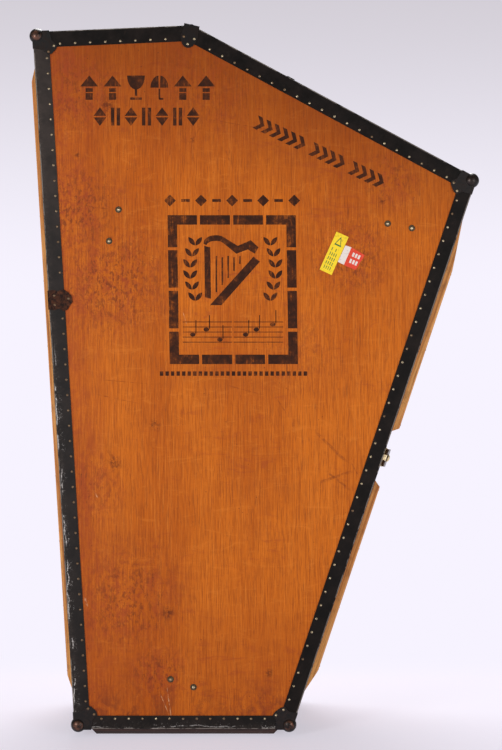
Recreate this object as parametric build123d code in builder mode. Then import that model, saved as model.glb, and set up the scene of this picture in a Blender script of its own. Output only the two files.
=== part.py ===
"""Harp travelling trunk: a shallow hinged lid on a deep case, upright, lid to the front (-Y), +Z up.

The origin is on the floor, under the middle of the base and half way through the depth.
Sides are numbered anticlockwise seen from the front: 0 base, 1 right, 2 slope, 3 top, 4 left.
"""

import math
import os

from build123d import *

os.makedirs("parts", exist_ok=True)

# ---- driving dimensions, mm ----
RUNNER_H = 21.0  # the runners lift the binding this far off the floor
RUNNER_X = (-257.0, 267.0)
RUNNER_W, RUNNER_NOSE = 42.0, 12.0
BASE_X = (-303.5, 305.5)
LEFT_TOP = (-421.0, 1952.5)  # face corners above the base edge: x, height
PEAK = (26.0, 1971.5)
RIGHT_TOP = (823.0, 1542.0)
DEPTH = 560.0
LID_DEPTH = 120.0
SPLIT_GAP = 1.0

WALL = 9.0  # plywood
FIBRE = 2.0  # vulcanised fibre binding
FELT = 3.0
BIND_FACES = (38.0, 42.0, 45.0, 45.0, 45.0)  # binding width on the face, side by side
BIND_SIDE = 38.0  # binding width round the edge
BIND_ROUND = 3.5
LID_RIM = 28.0  # rim strips each side of the split
CASE_RIM = 58.0
CORNER_STRIP = 30.0

NAIL_PITCHES = (38.0, 40.0, 39.0, 40.0, 43.0)  # about this, side by side
NAIL_EDGE = 8.5  # nail line from the inner edge of the binding
NAIL_CLEAR = 76.0  # the first nail from a corner
NAIL_R, NAIL_H = 3.5, 2.0
RIVET_R, RIVET_H = 4.0, 2.6
SLAT_RIVET_PITCH = 190.0

CAP = 1.6  # corner cap plate
CAP_REACH = 47.0  # a cap along each edge from its corner
CAP_SIDE = 36.0  # a cap round the edge, behind the face
CAP_RIVET_IN = 9.0  # side rivets from the cap's edges
BALL_R, BALL_IN = 21.0, 11.0
CLAMP_HALF = 22.0

STRAP_AT = 1200.0  # height of the repair strap's middle
STRAP_H, STRAP_T, STRAP_REACH, STRAP_SIDE = 66.0, 1.8, 67.0, 34.0

SLAT_W = 44.0
SLAT_LEFT, SLAT_RIGHT = 18.0, 24.0
SLAT_BEVEL = 4.0
LID_SLAT_Y = 46.0  # behind the front plane
CASE_SLAT_Y = 62.0  # behind the split
LEFT_SLAT = (1881.0, 84.0)  # heights where the left slats start and end
UPPER_SLAT = (830.0, 1473.0)
LOWER_SLAT = (80.0, 699.0)
LEFT_TAPER, BLUNT, LONG_TAPER, FOOT_TAPER = 60.0, 18.0, 190.0, 88.0

HINGE_COUNT = 4
HINGE_TOP, HINGE_SPREAD = 1803.0, 1660.0
HINGE_W, HINGE_LEAF, LEAF = 76.0, 26.0, 2.5
HINGE_OUT = 6.0  # hinge axis outside the binding's surface
KNUCKLES = 3  # the middle knuckle belongs to the lid
KNUCKLE_GAP = 0.4
TAB = 6.4  # a leaf's plate stays this far from the hinge line, except at its own knuckles
PIN_R, BORE_FIT, KNUCKLE_R = 3.0, 0.05, 5.5
PIN_HEAD = 1.6

HASP_H = 760.0  # height of the lock above the base edge
HASP_OUT = 15.0
HASP_REST = 10.0  # the hasp rests this far open, in degrees
HASP_Y = 14.0  # hasp axis in front of the split
HASP_HALF, HASP_LUG, HASP_LENGTH = 26.0, 8.0, 47.0
HASP_EYE, HASP_PIN = 4.0, 2.0
HASP_PLATE = (2.0, 4.0)  # inner and outer face of the plate, from the axis
STAPLE_AT, STAPLE_W, STAPLE_IN = 33.0, 6.0, 2.5
BOSS_AT, BOSS_R, BOSS_H = 24.0, 12.0, 7.0
BASE_PLATE = 2.5
LOCK_HALF, LOCK_TOP, LOCK_Y = 28.0, 16.5, (3.0, 52.0)
SLOT_HALF, SLOT_FLOOR, SLOT_Y = 5.0, 9.0, (14.0, 24.0)
SLIDE_HALF, SLIDE_FLOOR, SLIDE_Y = 11.0, 11.0, (40.0, 46.0)
BUTTON_SHIFT, BUTTON_HALF, BUTTON_HEAD, BUTTON_H = 5.0, 4.0, 7.0, 3.2

DRAW_ALONG = 602.0  # draw bolt from the right corner, along the slope
DRAW_OUT = 9.0
DRAW_REST = 16.0  # the lever rests this far open, in degrees
DRAW_Y = 14.0  # lever axis behind the split
DRAW_HALF, CHEEK, LEVER_HALF, HOOK_HALF = 15.2, 2.8, 11.8, 8.4
LEVER_EYE, LEVER_PIN, LEVER_LENGTH = 4.5, 2.5, 40.0
LEVER_TOP, LEVER_T = 4.4, 2.2
THROW = 10.0  # hook pin from the lever's pivot
HOOK_EYE, HOOK_PIN, HOOK_T, HOOK_REACH, CLAW = 4.2, 2.0, 4.0, 44.0, 3.5

HANDLE_H = 1053.0
HANDLE_Y = 68.0
HANDLE_OUT = 15.0
HANDLE_DROP, HANDLE_SPAN, BAIL_R, BAIL_BEND = 58.0, 68.0, 5.0, 9.5
LUG_Y, LUG_W, LUG_R = 51.0, 14.0, 9.0
LUG_FOOT, LUG_NECK = 14.0, 8.0
PLATE_HALF_H, PLATE_HALF_Y = 24.0, 74.0

BOLT_PAIRS = (  # centres of the bolts that hold the lid's support blocks: x, height
    ((-206.4, 1366.3), (-179.8, 1454.5)),
    ((573.7, 1415.3), (641.2, 1402.7)),
    ((-34.2, 139.6), (30.0, 117.5)),
)
BOLT_R, BOLT_HOLE, BOLT_HEAD, BOLT_DOME = 3.0, 3.2, 5.0, 3.2
WASHER_R, WASHER_H, WASHER_BEVEL = 9.0, 2.2, 1.2
BOLT_IN_BLOCK = 24.0
BLOCK_W, BLOCK_H, CASE_BLOCK_H, BLOCK_PAST = 62.0, 66.0, 80.0, 34.0
BLOCK_BEVEL, PAD_ROUND = 4.0, 8.0
PAD_H = 28.0
MAT_Y, MAT_H, MAT_HALF = (-70.0, 140.0), 22.0, 215.0
LIP_IN, LIP_OUT, LIP_T, LIP_FIT = 30.0, 14.0, 4.0, 1.5

# ---- outlines and places ----
FRONT = -DEPTH / 2  # wood face of the lid
BACK = DEPTH / 2
SPLIT = FRONT + LID_DEPTH
LID_END = SPLIT - SPLIT_GAP / 2
CASE_START = SPLIT + SPLIT_GAP / 2
FACE = FRONT - FIBRE  # outer face of the binding
INSIDE = FIBRE + WALL
BLOCK_FOOT = WALL + FELT  # a block stands on the lining

OUTLINE = [
    (x, z + RUNNER_H)
    for x, z in ((BASE_X[0], 0.0), (BASE_X[1], 0.0), RIGHT_TOP, PEAK, LEFT_TOP)
]
SIDES = ("base", "right", "slope", "top", "left")
BASE, RIGHT, SLOPE, TOP, LEFT = range(5)


def direction(side):
    """Unit vector along a side, anticlockwise, as (x, z)."""
    (x0, z0), (x1, z1) = OUTLINE[side], OUTLINE[(side + 1) % 5]
    length = math.hypot(x1 - x0, z1 - z0)
    return (x1 - x0) / length, (z1 - z0) / length


def side_length(side):
    return math.dist(OUTLINE[side], OUTLINE[(side + 1) % 5])


def inset(distance):
    """The outline moved inwards by distance, with mitred corners."""
    corners = []
    for side, (x, z) in enumerate(OUTLINE):
        (ax, az), (bx, bz) = direction(side - 1), direction(side)
        reach = distance / (1 + ax * bx + az * bz)
        corners.append((x - (az + bz) * reach, z + (ax + bx) * reach))
    return corners


def spot(side, along, out):
    """The point this far along a side from its start and this far outside it, as (x, z)."""
    (x, z), (dx, dz) = OUTLINE[side], direction(side)
    return x + dx * along + dz * out, z + dz * along - dx * out


def along_at(side, height):
    """How far along a side a height above the base edge is reached."""
    return (height + RUNNER_H - OUTLINE[side][1]) / direction(side)[1]


def near_corner(corner, along_next, along_last):
    """A point from a corner: along the next side, and back along the side before."""
    (x, z), (ax, az), (bx, bz) = OUTLINE[corner], direction(corner - 1), direction(corner)
    return x + bx * along_next - ax * along_last, z + bz * along_next - az * along_last


def cross_plane(side, along, out=0.0, y=0.0, lift=0.0):
    """A plane across a side: x points out of it, y is the trunk's +Y lifted outwards, z runs along it."""
    x, z = spot(side, along, out)
    dx, dz = direction(side)
    c, s = math.cos(math.radians(lift)), math.sin(math.radians(lift))
    return Plane(origin=(x, y, z), x_dir=(dz * c, -s, -dx * c), z_dir=(dx, 0, dz))


def slab(points, start, end, mode=Mode.ADD):
    """A prism of a front-view outline between two depths, joined to the part being built."""
    with BuildSketch(Plane.XZ.offset(-end)) as profile:
        with BuildLine():
            Polyline(*points, close=True)
        make_face()
    extrude(profile.sketch, amount=end - start, mode=mode)


def ring_strip(side, outer, inner, start, end):
    """The mitred strip of one side between two insets."""
    a, b = inset(outer), inset(inner)
    following = (side + 1) % 5
    slab([a[side], a[following], b[following], b[side]], start, end)


def corner_strip(corner, start, end):
    """A fibre angle over one corner of the walls, running through the depth."""
    (ax, az), (bx, bz) = direction(corner - 1), direction(corner)
    wood, skin = inset(FIBRE)[corner], OUTLINE[corner]
    reach = CORNER_STRIP
    slab(
        [
            (wood[0] - ax * reach, wood[1] - az * reach),
            (wood[0] - ax * reach + az * FIBRE, wood[1] - az * reach - ax * FIBRE),
            skin,
            (wood[0] + bx * reach + bz * FIBRE, wood[1] + bz * reach - bx * FIBRE),
            (wood[0] + bx * reach, wood[1] + bz * reach),
            wood,
        ],
        start,
        end,
    )


def domes(places, radius, height):
    """Domed heads standing on planes: each is a spherical cap."""
    sphere = (radius**2 + height**2) / (2 * height)
    for place in places:
        with BuildSketch(Plane(place.origin, x_dir=place.x_dir, z_dir=-place.y_dir)) as profile:
            with BuildLine():
                Line((0, 0), (radius, 0))
                RadiusArc((radius, 0), (0, height), -sphere)
                Line((0, height), (0, 0))
            make_face()
        revolve(profile.sketch, axis=Axis(place.origin, place.z_dir))


def face_place(x, z, y=FACE):
    """A plane on the front, facing forwards."""
    return Plane((x, y, z), x_dir=(1, 0, 0), z_dir=(0, -1, 0))


def side_place(side, along, y, out=0.0):
    """A plane on a side, facing outwards."""
    x, z = spot(side, along, out)
    dx, dz = direction(side)
    return Plane((x, y, z), x_dir=(dx, 0, dz), z_dir=(dz, 0, -dx))


def nail_runs():
    """Evenly pitched distances along each side, clear of the corner caps."""
    for side in range(5):
        room = side_length(side) - 2 * NAIL_CLEAR
        count = round(room / NAIL_PITCHES[side])
        for k in range(count + 1):
            along = NAIL_CLEAR + room * k / count
            if side != LEFT or abs(along - STRAP_ALONG) > STRAP_H / 2 + NAIL_R:
                yield side, along


def save(builder, name):
    builder.part.label = name
    export_step(builder.part, f"parts/{name}.step")


STRAP_ALONG = along_at(LEFT, STRAP_AT)
BOLTS_XZ = [(x, z + RUNNER_H) for pair in BOLT_PAIRS for x, z in pair]

# ---- lid: panel and walls ----
with BuildPart() as lid_panel:
    slab(inset(FIBRE), FRONT, FRONT + WALL)
    with BuildSketch(Plane.XZ.offset(-FRONT)):
        with Locations(*BOLTS_XZ):
            Circle(BOLT_HOLE)
    extrude(amount=-WALL, mode=Mode.SUBTRACT)
save(lid_panel, "lid_panel")

for side, side_name in enumerate(SIDES):
    with BuildPart() as lid_wall:
        ring_strip(side, FIBRE, FIBRE + WALL, FRONT + WALL, LID_END)
    save(lid_wall, f"lid_wall_{side_name}")

# ---- lid: bindings ----
lid_bindings = []
for side, side_name in enumerate(SIDES):
    with BuildPart() as lid_binding:
        ring_strip(side, 0, BIND_FACES[side], FACE, FRONT)
        ring_strip(side, 0, FIBRE, FRONT, FRONT + BIND_SIDE)
        outer_edge = lid_binding.faces().sort_by(Axis.Y)[0].edges().sort_by(SortBy.LENGTH)[-1]
        fillet(outer_edge, BIND_ROUND)
    save(lid_binding, f"lid_binding_{side_name}")
    lid_bindings.append(lid_binding.part)

with BuildPart() as lid_rim_bindings:
    for side in range(5):
        ring_strip(side, 0, FIBRE, LID_END - LID_RIM, LID_END)
        corner_strip(side, FRONT + BIND_SIDE, LID_END - LID_RIM)
save(lid_rim_bindings, "lid_rim_bindings")

# ---- corner caps and the peak clamp ----
CAP_LOBE = (  # along the next edge, and back along the last one
    (0, 0),
    (CAP_REACH, 0),
    (53, 27),
    (67, 41),
    (64, 51),
    (51, 64),
    (41, 67),
    (27, 53),
    (0, CAP_REACH),
)
CAP_RIVETS = ((58, 42), (42, 58))
CAP_NAMES = {0: "base_left", 1: "base_right", 2: "right_top", 4: "left_top"}
# the clamp's outline and rivets: across the bisector of its corner, and down it
PEAK_SIDE = ((CLAMP_HALF, 0), (CLAMP_HALF, 16), (24, 34), (22, 46), (15, 58), (8, 64))
PEAK_LOBE = (*PEAK_SIDE, (0, 66), *((-across, down) for across, down in reversed(PEAK_SIDE)))
PEAK_RIVETS = ((15, 37), (-15, 37), (0, 55))


def cap_flange(corner, reach):
    """The part of a cap or clamp that wraps both edges beside a corner."""
    (ax, az), (bx, bz) = direction(corner - 1), direction(corner)
    x, z = OUTLINE[corner]
    skin, outer = (x, z), inset(-CAP)[corner]
    slab(
        [
            (x - ax * reach, z - az * reach),
            (x - ax * reach + az * CAP, z - az * reach - ax * CAP),
            outer,
            (x + bx * reach + bz * CAP, z + bz * reach - bx * CAP),
            (x + bx * reach, z + bz * reach),
            skin,
        ],
        FACE - CAP,
        FRONT + CAP_SIDE,
    )


lid_caps = []
for corner, corner_name in CAP_NAMES.items():
    (ax, az), (bx, bz) = direction(corner - 1), direction(corner)
    ball_x, ball_z = inset(BALL_IN)[corner]
    with BuildPart() as lid_cap:
        with Locations((ball_x, FACE + BALL_IN, ball_z)):
            Sphere(BALL_R)
        with BuildSketch(Plane.XZ.offset(-BACK)):
            with BuildLine():
                Polyline(*OUTLINE, close=True)
            make_face()
        extrude(amount=BACK - FACE, mode=Mode.SUBTRACT)
        lobe = [near_corner(corner, u, v) for u, v in CAP_LOBE]
        slab(lobe, FACE - CAP, FACE)
        cap_flange(corner, CAP_REACH)
    save(lid_cap, f"lid_cap_{corner_name}")
    lid_caps.append(lid_cap.part)


def peak_point(across, down):
    """A point on the clamp: across and down the bisector of the peak's corner."""
    (ax, az), (bx, bz) = direction(SLOPE), direction(TOP)
    mx, mz = ax + bx, az + bz
    size = math.hypot(mx, mz)
    mx, mz = mx / size, mz / size
    x, z = OUTLINE[TOP]
    return x - mx * across - mz * down, z - mz * across + mx * down


with BuildPart() as lid_peak_clamp:
    slab([peak_point(u, v) for u, v in PEAK_LOBE], FACE - CAP, FACE)
    cap_flange(TOP, CLAMP_HALF)
save(lid_peak_clamp, "lid_peak_clamp")

# ---- slats ----


def slat(side, heights, thick, tapers, start):
    """A hardwood batten on a side, tapered or blunt at each end."""
    first, last = (along_at(side, height) for height in heights)
    slab(
        [
            spot(side, first, -FIBRE),
            spot(side, first + tapers[0], thick - FIBRE),
            spot(side, last - tapers[1], thick - FIBRE),
            spot(side, last, -FIBRE),
        ],
        start,
        start + SLAT_W,
    )


def bevel(builder):
    """Takes the outer long edges off the slats just built."""
    for solid in builder.solids():
        top = solid.edges().sort_by(SortBy.LENGTH)[-4:-2]
        chamfer(top, SLAT_BEVEL)


SLATS = {
    "left": (LEFT, LEFT_SLAT, SLAT_LEFT, (LEFT_TAPER, LEFT_TAPER)),
    "right_upper": (RIGHT, UPPER_SLAT, SLAT_RIGHT, (BLUNT, LONG_TAPER)),
    "right_lower": (RIGHT, LOWER_SLAT, SLAT_RIGHT, (FOOT_TAPER, BLUNT)),
}
for slat_name, (side, heights, thick, tapers) in SLATS.items():
    with BuildPart() as lid_slat:
        slat(side, heights, thick, tapers, FRONT + LID_SLAT_Y)
        bevel(lid_slat)
    save(lid_slat, f"lid_slat_{slat_name}")

# ---- nails and rivets ----
HINGE_ALONG = [
    along_at(LEFT, HINGE_TOP - HINGE_SPREAD * k / (HINGE_COUNT - 1)) for k in range(HINGE_COUNT)
]
LEAF_RIVETS = (-24.0, 0.0, 24.0)
LEAF_RIVET_Y = 18.0  # from the split
RIVET_IN = 10.0  # from the flat's ends


def slat_rivets(start):
    """Rivets along the flat top of the slats that begin at a depth."""
    for side, heights, thick, tapers in SLATS.values():
        first = along_at(side, heights[0]) + tapers[0] + RIVET_IN
        room = along_at(side, heights[1]) - tapers[1] - RIVET_IN - first
        count = round(room / SLAT_RIVET_PITCH)
        for k in range(count + 1):
            yield side_place(side, first + room * k / count, start + SLAT_W / 2, thick - FIBRE)


def leaf_rivets(sign):
    """Rivets of the hinge leaves: sign -1 on the lid, +1 on the case."""
    for middle in HINGE_ALONG:
        for step in LEAF_RIVETS:
            yield side_place(LEFT, middle + step, SPLIT + sign * LEAF_RIVET_Y, LEAF)


with BuildPart() as lid_nails:
    places = []
    for side, along in nail_runs():
        x, z = spot(side, along, NAIL_EDGE - BIND_FACES[side])
        places.append(face_place(x, z))
        places.append(side_place(side, along, FRONT + BIND_SIDE / 2))
    domes(places, NAIL_R, NAIL_H)
save(lid_nails, "lid_nails")

cap_rivet_places = []
for corner in CAP_NAMES:
    before = (corner - 1) % 5
    reach, y = CAP_REACH - CAP_RIVET_IN, FRONT + CAP_SIDE - CAP_RIVET_IN
    for u, v in CAP_RIVETS:
        cap_rivet_places.append(face_place(*near_corner(corner, u, v), y=FACE - CAP))
    cap_rivet_places.append(side_place(corner, reach, y, CAP))
    cap_rivet_places.append(side_place(before, side_length(before) - reach, y, CAP))
for u, v in PEAK_RIVETS:
    cap_rivet_places.append(face_place(*peak_point(u, v), y=FACE - CAP))

STRAP_RIVETS = ((-17, -13), (-17, 13), (-56, -2))  # out from the edge, and along it
strap_rivet_places = [
    face_place(*spot(LEFT, STRAP_ALONG + along, out), y=FACE - STRAP_T)
    for out, along in STRAP_RIVETS
]

with BuildPart() as cap_rivets:
    domes(cap_rivet_places, RIVET_R, RIVET_H)
with BuildPart() as lid_rivets:
    add(cap_rivets.part)
    domes(strap_rivet_places, NAIL_R, NAIL_H)
    domes(slat_rivets(FRONT + LID_SLAT_Y), RIVET_R, RIVET_H)
    domes(leaf_rivets(-1), RIVET_R, RIVET_H)
save(lid_rivets, "lid_rivets")

# ---- repair strap round the left edge, cut by hand with wavy sides ----
STRAP_OUTLINE = (  # out from the edge, and along it
    (STRAP_T, -27),
    (STRAP_T, 25),
    (-14, 28),
    (-30, 24),
    (-40, 33),
    (-52, 28),
    (-59, 17),
    (-STRAP_REACH, 8),
    (-65, -9),
    (-56, -20),
    (-44, -29),
    (-28, -24),
    (-12, -29),
)
with BuildPart() as repair_strap:
    with BuildSketch(cross_plane(LEFT, STRAP_ALONG)):
        with BuildLine():
            Polyline(
                (0, FRONT + STRAP_SIDE),
                (STRAP_T, FRONT + STRAP_SIDE),
                (STRAP_T, FACE - STRAP_T),
                (-STRAP_REACH, FACE - STRAP_T),
                (-STRAP_REACH, FRONT),
                (-BIND_FACES[LEFT], FRONT),
                (-BIND_FACES[LEFT], FACE),
                (0, FACE),
                close=True,
            )
        make_face()
    extrude(amount=STRAP_H / 2, both=True)
    slab(
        [spot(LEFT, STRAP_ALONG + along, out) for out, along in STRAP_OUTLINE],
        FACE - STRAP_T,
        FRONT + STRAP_SIDE,
        Mode.INTERSECT,
    )
save(repair_strap, "repair_strap")

# ---- runners: one under the lid, two under the case, the middle one under the origin ----
RUNNER_PAST = 3.0  # between a runner and the edge of the binding
RUNNER_Y = BACK - BIND_SIDE - RUNNER_PAST - RUNNER_W / 2


def runner(middle):
    """A runner across the base, with sloping noses, centred at a depth."""
    (low, high), top, nose = RUNNER_X, RUNNER_H + FIBRE, RUNNER_NOSE
    outline = [
        (low + nose, 0),
        (high - nose, 0),
        (high, nose),
        (high, top),
        (low, top),
        (low, nose),
    ]
    slab(outline, middle - RUNNER_W / 2, middle + RUNNER_W / 2)


with BuildPart() as lid_runner:
    runner(-RUNNER_Y)
save(lid_runner, "lid_runner")
with BuildPart() as case_runners:
    runner(0)
    runner(RUNNER_Y)
save(case_runners, "case_runners")

# ---- lid: lining, support blocks, pads and their bolts ----
LIP_ROOM = 5.0  # the lid's side lining stops this far short of the lip
with BuildPart() as lid_lining:
    slab(inset(INSIDE), FRONT + WALL, FRONT + WALL + FELT)
    with BuildSketch(Plane.XZ.offset(-FRONT - WALL)):
        with Locations(*BOLTS_XZ):
            Circle(BOLT_HOLE)
    extrude(amount=-FELT, mode=Mode.SUBTRACT)
    for side in range(5):
        ring_strip(side, INSIDE, INSIDE + FELT, FRONT + WALL + FELT, SPLIT - LIP_OUT - LIP_ROOM)
save(lid_lining, "lid_lining")


def block_places():
    """Middle, length and slant of each support block, seen from the front."""
    for (x0, z0), (x1, z1) in BOLT_PAIRS:
        length = math.dist((x0, z0), (x1, z1)) + 2 * BLOCK_PAST
        slant = math.degrees(math.atan2(z1 - z0, x1 - x0))
        yield (x0 + x1) / 2, (z0 + z1) / 2 + RUNNER_H, length, slant


def footprints(start, height, shrink=0.0):
    """Extrudes the outline of every support block from a depth."""
    with BuildSketch(Plane.XZ.offset(-start)) as profile:
        for x, z, length, slant in block_places():
            with Locations((x, z)):
                Rectangle(length - shrink, BLOCK_W - shrink, rotation=slant)
    extrude(profile.sketch, amount=-height)


with BuildPart() as lid_blocks:
    footprints(FRONT + BLOCK_FOOT, BLOCK_H)
    chamfer(lid_blocks.faces().filter_by(Axis.Y).group_by(Axis.Y)[-1].edges(), BLOCK_BEVEL)
    with BuildSketch(Plane.XZ.offset(-FRONT - BLOCK_FOOT)):
        with Locations(*BOLTS_XZ):
            Circle(BOLT_HOLE)
    extrude(amount=-BOLT_IN_BLOCK - BOLT_R, mode=Mode.SUBTRACT)
save(lid_blocks, "lid_blocks")

with BuildPart() as lid_pads:
    footprints(FRONT + BLOCK_FOOT + BLOCK_H, PAD_H, shrink=PAD_ROUND)
    fillet(lid_pads.faces().filter_by(Axis.Y).group_by(Axis.Y)[-1].edges(), PAD_ROUND)
save(lid_pads, "lid_pads")

with BuildPart() as block_washers:
    for x, z in BOLTS_XZ:
        with BuildSketch(Plane.XZ.offset(-FRONT)):
            with Locations((x, z)):
                Circle(WASHER_R)
                Circle(BOLT_HOLE, mode=Mode.SUBTRACT)
        extrude(amount=WASHER_H)
    fronts = block_washers.faces().sort_by(Axis.Y)[: len(BOLTS_XZ)]
    rims = fronts.edges().filter_by(GeomType.CIRCLE).group_by(SortBy.RADIUS)[-1]
    chamfer(rims, WASHER_BEVEL)
save(block_washers, "block_washers")

with BuildPart() as block_bolts:
    domes([face_place(x, z, y=FRONT - WASHER_H) for x, z in BOLTS_XZ], BOLT_HEAD, BOLT_DOME)
    for x, z in BOLTS_XZ:
        with BuildSketch(Plane.XZ.offset(-FRONT + WASHER_H)):
            with Locations((x, z)):
                Circle(BOLT_R)
        extrude(amount=-WASHER_H - BLOCK_FOOT - BOLT_IN_BLOCK)
save(block_bolts, "block_bolts")

# ---- case: panel, walls, bindings, lip ----
with BuildPart() as case_panel:
    slab(inset(FIBRE), BACK - WALL, BACK)
save(case_panel, "case_panel")

for side, side_name in enumerate(SIDES):
    with BuildPart() as case_wall:
        ring_strip(side, FIBRE, FIBRE + WALL, CASE_START, BACK - WALL)
    save(case_wall, f"case_wall_{side_name}")

with BuildPart() as case_bindings:
    for binding in lid_bindings:
        mirror(binding, about=Plane.XZ)
save(case_bindings, "case_bindings")

with BuildPart() as case_rim_bindings:
    for side in range(5):
        ring_strip(side, 0, FIBRE, CASE_START, CASE_START + CASE_RIM)
        corner_strip(side, CASE_START + CASE_RIM, BACK - BIND_SIDE)
save(case_rim_bindings, "case_rim_bindings")

with BuildPart() as case_lip:
    for side in range(5):
        ring_strip(side, INSIDE, INSIDE + LIP_T, CASE_START, CASE_START + LIP_IN)
        ring_strip(side, INSIDE + LIP_FIT, INSIDE + LIP_T, SPLIT - LIP_OUT, CASE_START)
save(case_lip, "case_lip")

with BuildPart() as case_caps:
    for cap in (*lid_caps, lid_peak_clamp.part):
        mirror(cap, about=Plane.XZ)
save(case_caps, "case_caps")

CASE_SLAT_ROWS = (SPLIT + CASE_SLAT_Y, BACK - LID_SLAT_Y - SLAT_W)
with BuildPart() as case_slats:
    for start in CASE_SLAT_ROWS:
        for side, heights, thick, tapers in SLATS.values():
            slat(side, heights, thick, tapers, start)
    bevel(case_slats)
save(case_slats, "case_slats")

with BuildPart() as case_nails:
    mirror(lid_nails.part, about=Plane.XZ)
save(case_nails, "case_nails")

with BuildPart() as case_rivets:
    mirror(cap_rivets.part, about=Plane.XZ)
    for start in CASE_SLAT_ROWS:
        domes(slat_rivets(start), RIVET_R, RIVET_H)
    domes(leaf_rivets(1), RIVET_R, RIVET_H)
save(case_rivets, "case_rivets")

with BuildPart() as case_lining:
    slab(inset(INSIDE), BACK - WALL - FELT, BACK - WALL)
    for side in range(5):
        ring_strip(side, INSIDE, INSIDE + FELT, CASE_START + LIP_IN, BACK - WALL - FELT)
save(case_lining, "case_lining")

with BuildPart() as case_blocks:
    footprints(BACK - BLOCK_FOOT, -CASE_BLOCK_H)
    chamfer(case_blocks.faces().filter_by(Axis.Y).group_by(Axis.Y)[0].edges(), BLOCK_BEVEL)
save(case_blocks, "case_blocks")

with BuildPart() as case_pads:
    footprints(BACK - BLOCK_FOOT - CASE_BLOCK_H, -PAD_H, shrink=PAD_ROUND)
    fillet(case_pads.faces().filter_by(Axis.Y).group_by(Axis.Y)[0].edges(), PAD_ROUND)
    low = RUNNER_H + INSIDE + FELT
    high = low + MAT_H
    slab([(-MAT_HALF, low), (MAT_HALF, low), (MAT_HALF, high), (-MAT_HALF, high)], *MAT_Y)
save(case_pads, "case_pads")

# ---- hinges down the left side ----
KNUCKLE_WEB = ((0.8, 1.0), (0.0, TAB + 1.0), (LEAF, TAB + 1.0), (HINGE_OUT, 3.0))


def hinge_leaf(middle, sign):
    """One leaf: its plate, and its knuckles round the hinge line."""
    first = middle - HINGE_W / 2
    step = HINGE_W / KNUCKLES
    with BuildSketch(cross_plane(LEFT, first, y=SPLIT)) as plate:
        with Locations((LEAF / 2, sign * (TAB + HINGE_LEAF) / 2)):
            Rectangle(LEAF, HINGE_LEAF - TAB)
    extrude(plate.sketch, amount=HINGE_W)
    for k in range(KNUCKLES):
        if (k % 2 == 1) != (sign < 0):
            continue
        start = first + k * step + KNUCKLE_GAP / 2
        with BuildSketch(cross_plane(LEFT, start, y=SPLIT)) as knuckle:
            with BuildLine():
                Polyline(*((out, sign * y) for out, y in KNUCKLE_WEB), close=True)
            make_face()
            with Locations((HINGE_OUT, 0)):
                Circle(KNUCKLE_R)
                Circle(PIN_R + BORE_FIT, mode=Mode.SUBTRACT)
        extrude(knuckle.sketch, amount=step - KNUCKLE_GAP)


with BuildPart() as lid_hinge_leaves:
    for middle in HINGE_ALONG:
        hinge_leaf(middle, -1)
save(lid_hinge_leaves, "lid_hinge_leaves")
with BuildPart() as case_hinge_leaves:
    for middle in HINGE_ALONG:
        hinge_leaf(middle, 1)
save(case_hinge_leaves, "case_hinge_leaves")
with BuildPart() as hinge_pins:
    for middle in HINGE_ALONG:
        first = middle - HINGE_W / 2 + KNUCKLE_GAP / 2
        length = HINGE_W - KNUCKLE_GAP
        with BuildSketch(cross_plane(LEFT, first, HINGE_OUT, SPLIT)):
            Circle(PIN_R)
        extrude(amount=length)
        for end, way in ((first, -1), (first + length, 1)):
            with BuildSketch(cross_plane(LEFT, end, HINGE_OUT, SPLIT)):
                Circle(PIN_R + PIN_HEAD)
            extrude(amount=way * PIN_HEAD)
save(hinge_pins, "hinge_pins")

# ---- lock and hasp in the gap between the right-hand slats ----
HASP_ALONG = along_at(RIGHT, HASP_H)


def block_on_side(side, along, half, outs, ys, mode=Mode.ADD):
    """A rectangular piece of hardware on a side: depths ys are from the split."""
    with BuildSketch(cross_plane(side, along, y=SPLIT)) as profile:
        with Locations(((outs[0] + outs[1]) / 2, (ys[0] + ys[1]) / 2)):
            Rectangle(outs[1] - outs[0], ys[1] - ys[0])
    extrude(profile.sketch, amount=half, both=True, mode=mode)


HASP_BASE_Y = (-27.0, -3.0)
with BuildPart() as hasp_plate:
    block_on_side(RIGHT, HASP_ALONG, HASP_HALF, (0, BASE_PLATE), HASP_BASE_Y)
    with BuildSketch(cross_plane(RIGHT, HASP_ALONG, HASP_OUT, SPLIT - HASP_Y)):
        Circle(HASP_EYE)
        with Locations((-HASP_OUT / 2, 0)):
            Rectangle(HASP_OUT, 2 * HASP_EYE)
    extrude(amount=HASP_LUG, both=True)
    with BuildSketch(cross_plane(RIGHT, HASP_ALONG, HASP_OUT, SPLIT - HASP_Y)):
        Circle(HASP_PIN)
    extrude(amount=HASP_HALF, both=True)
save(hasp_plate, "hasp_plate")

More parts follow.
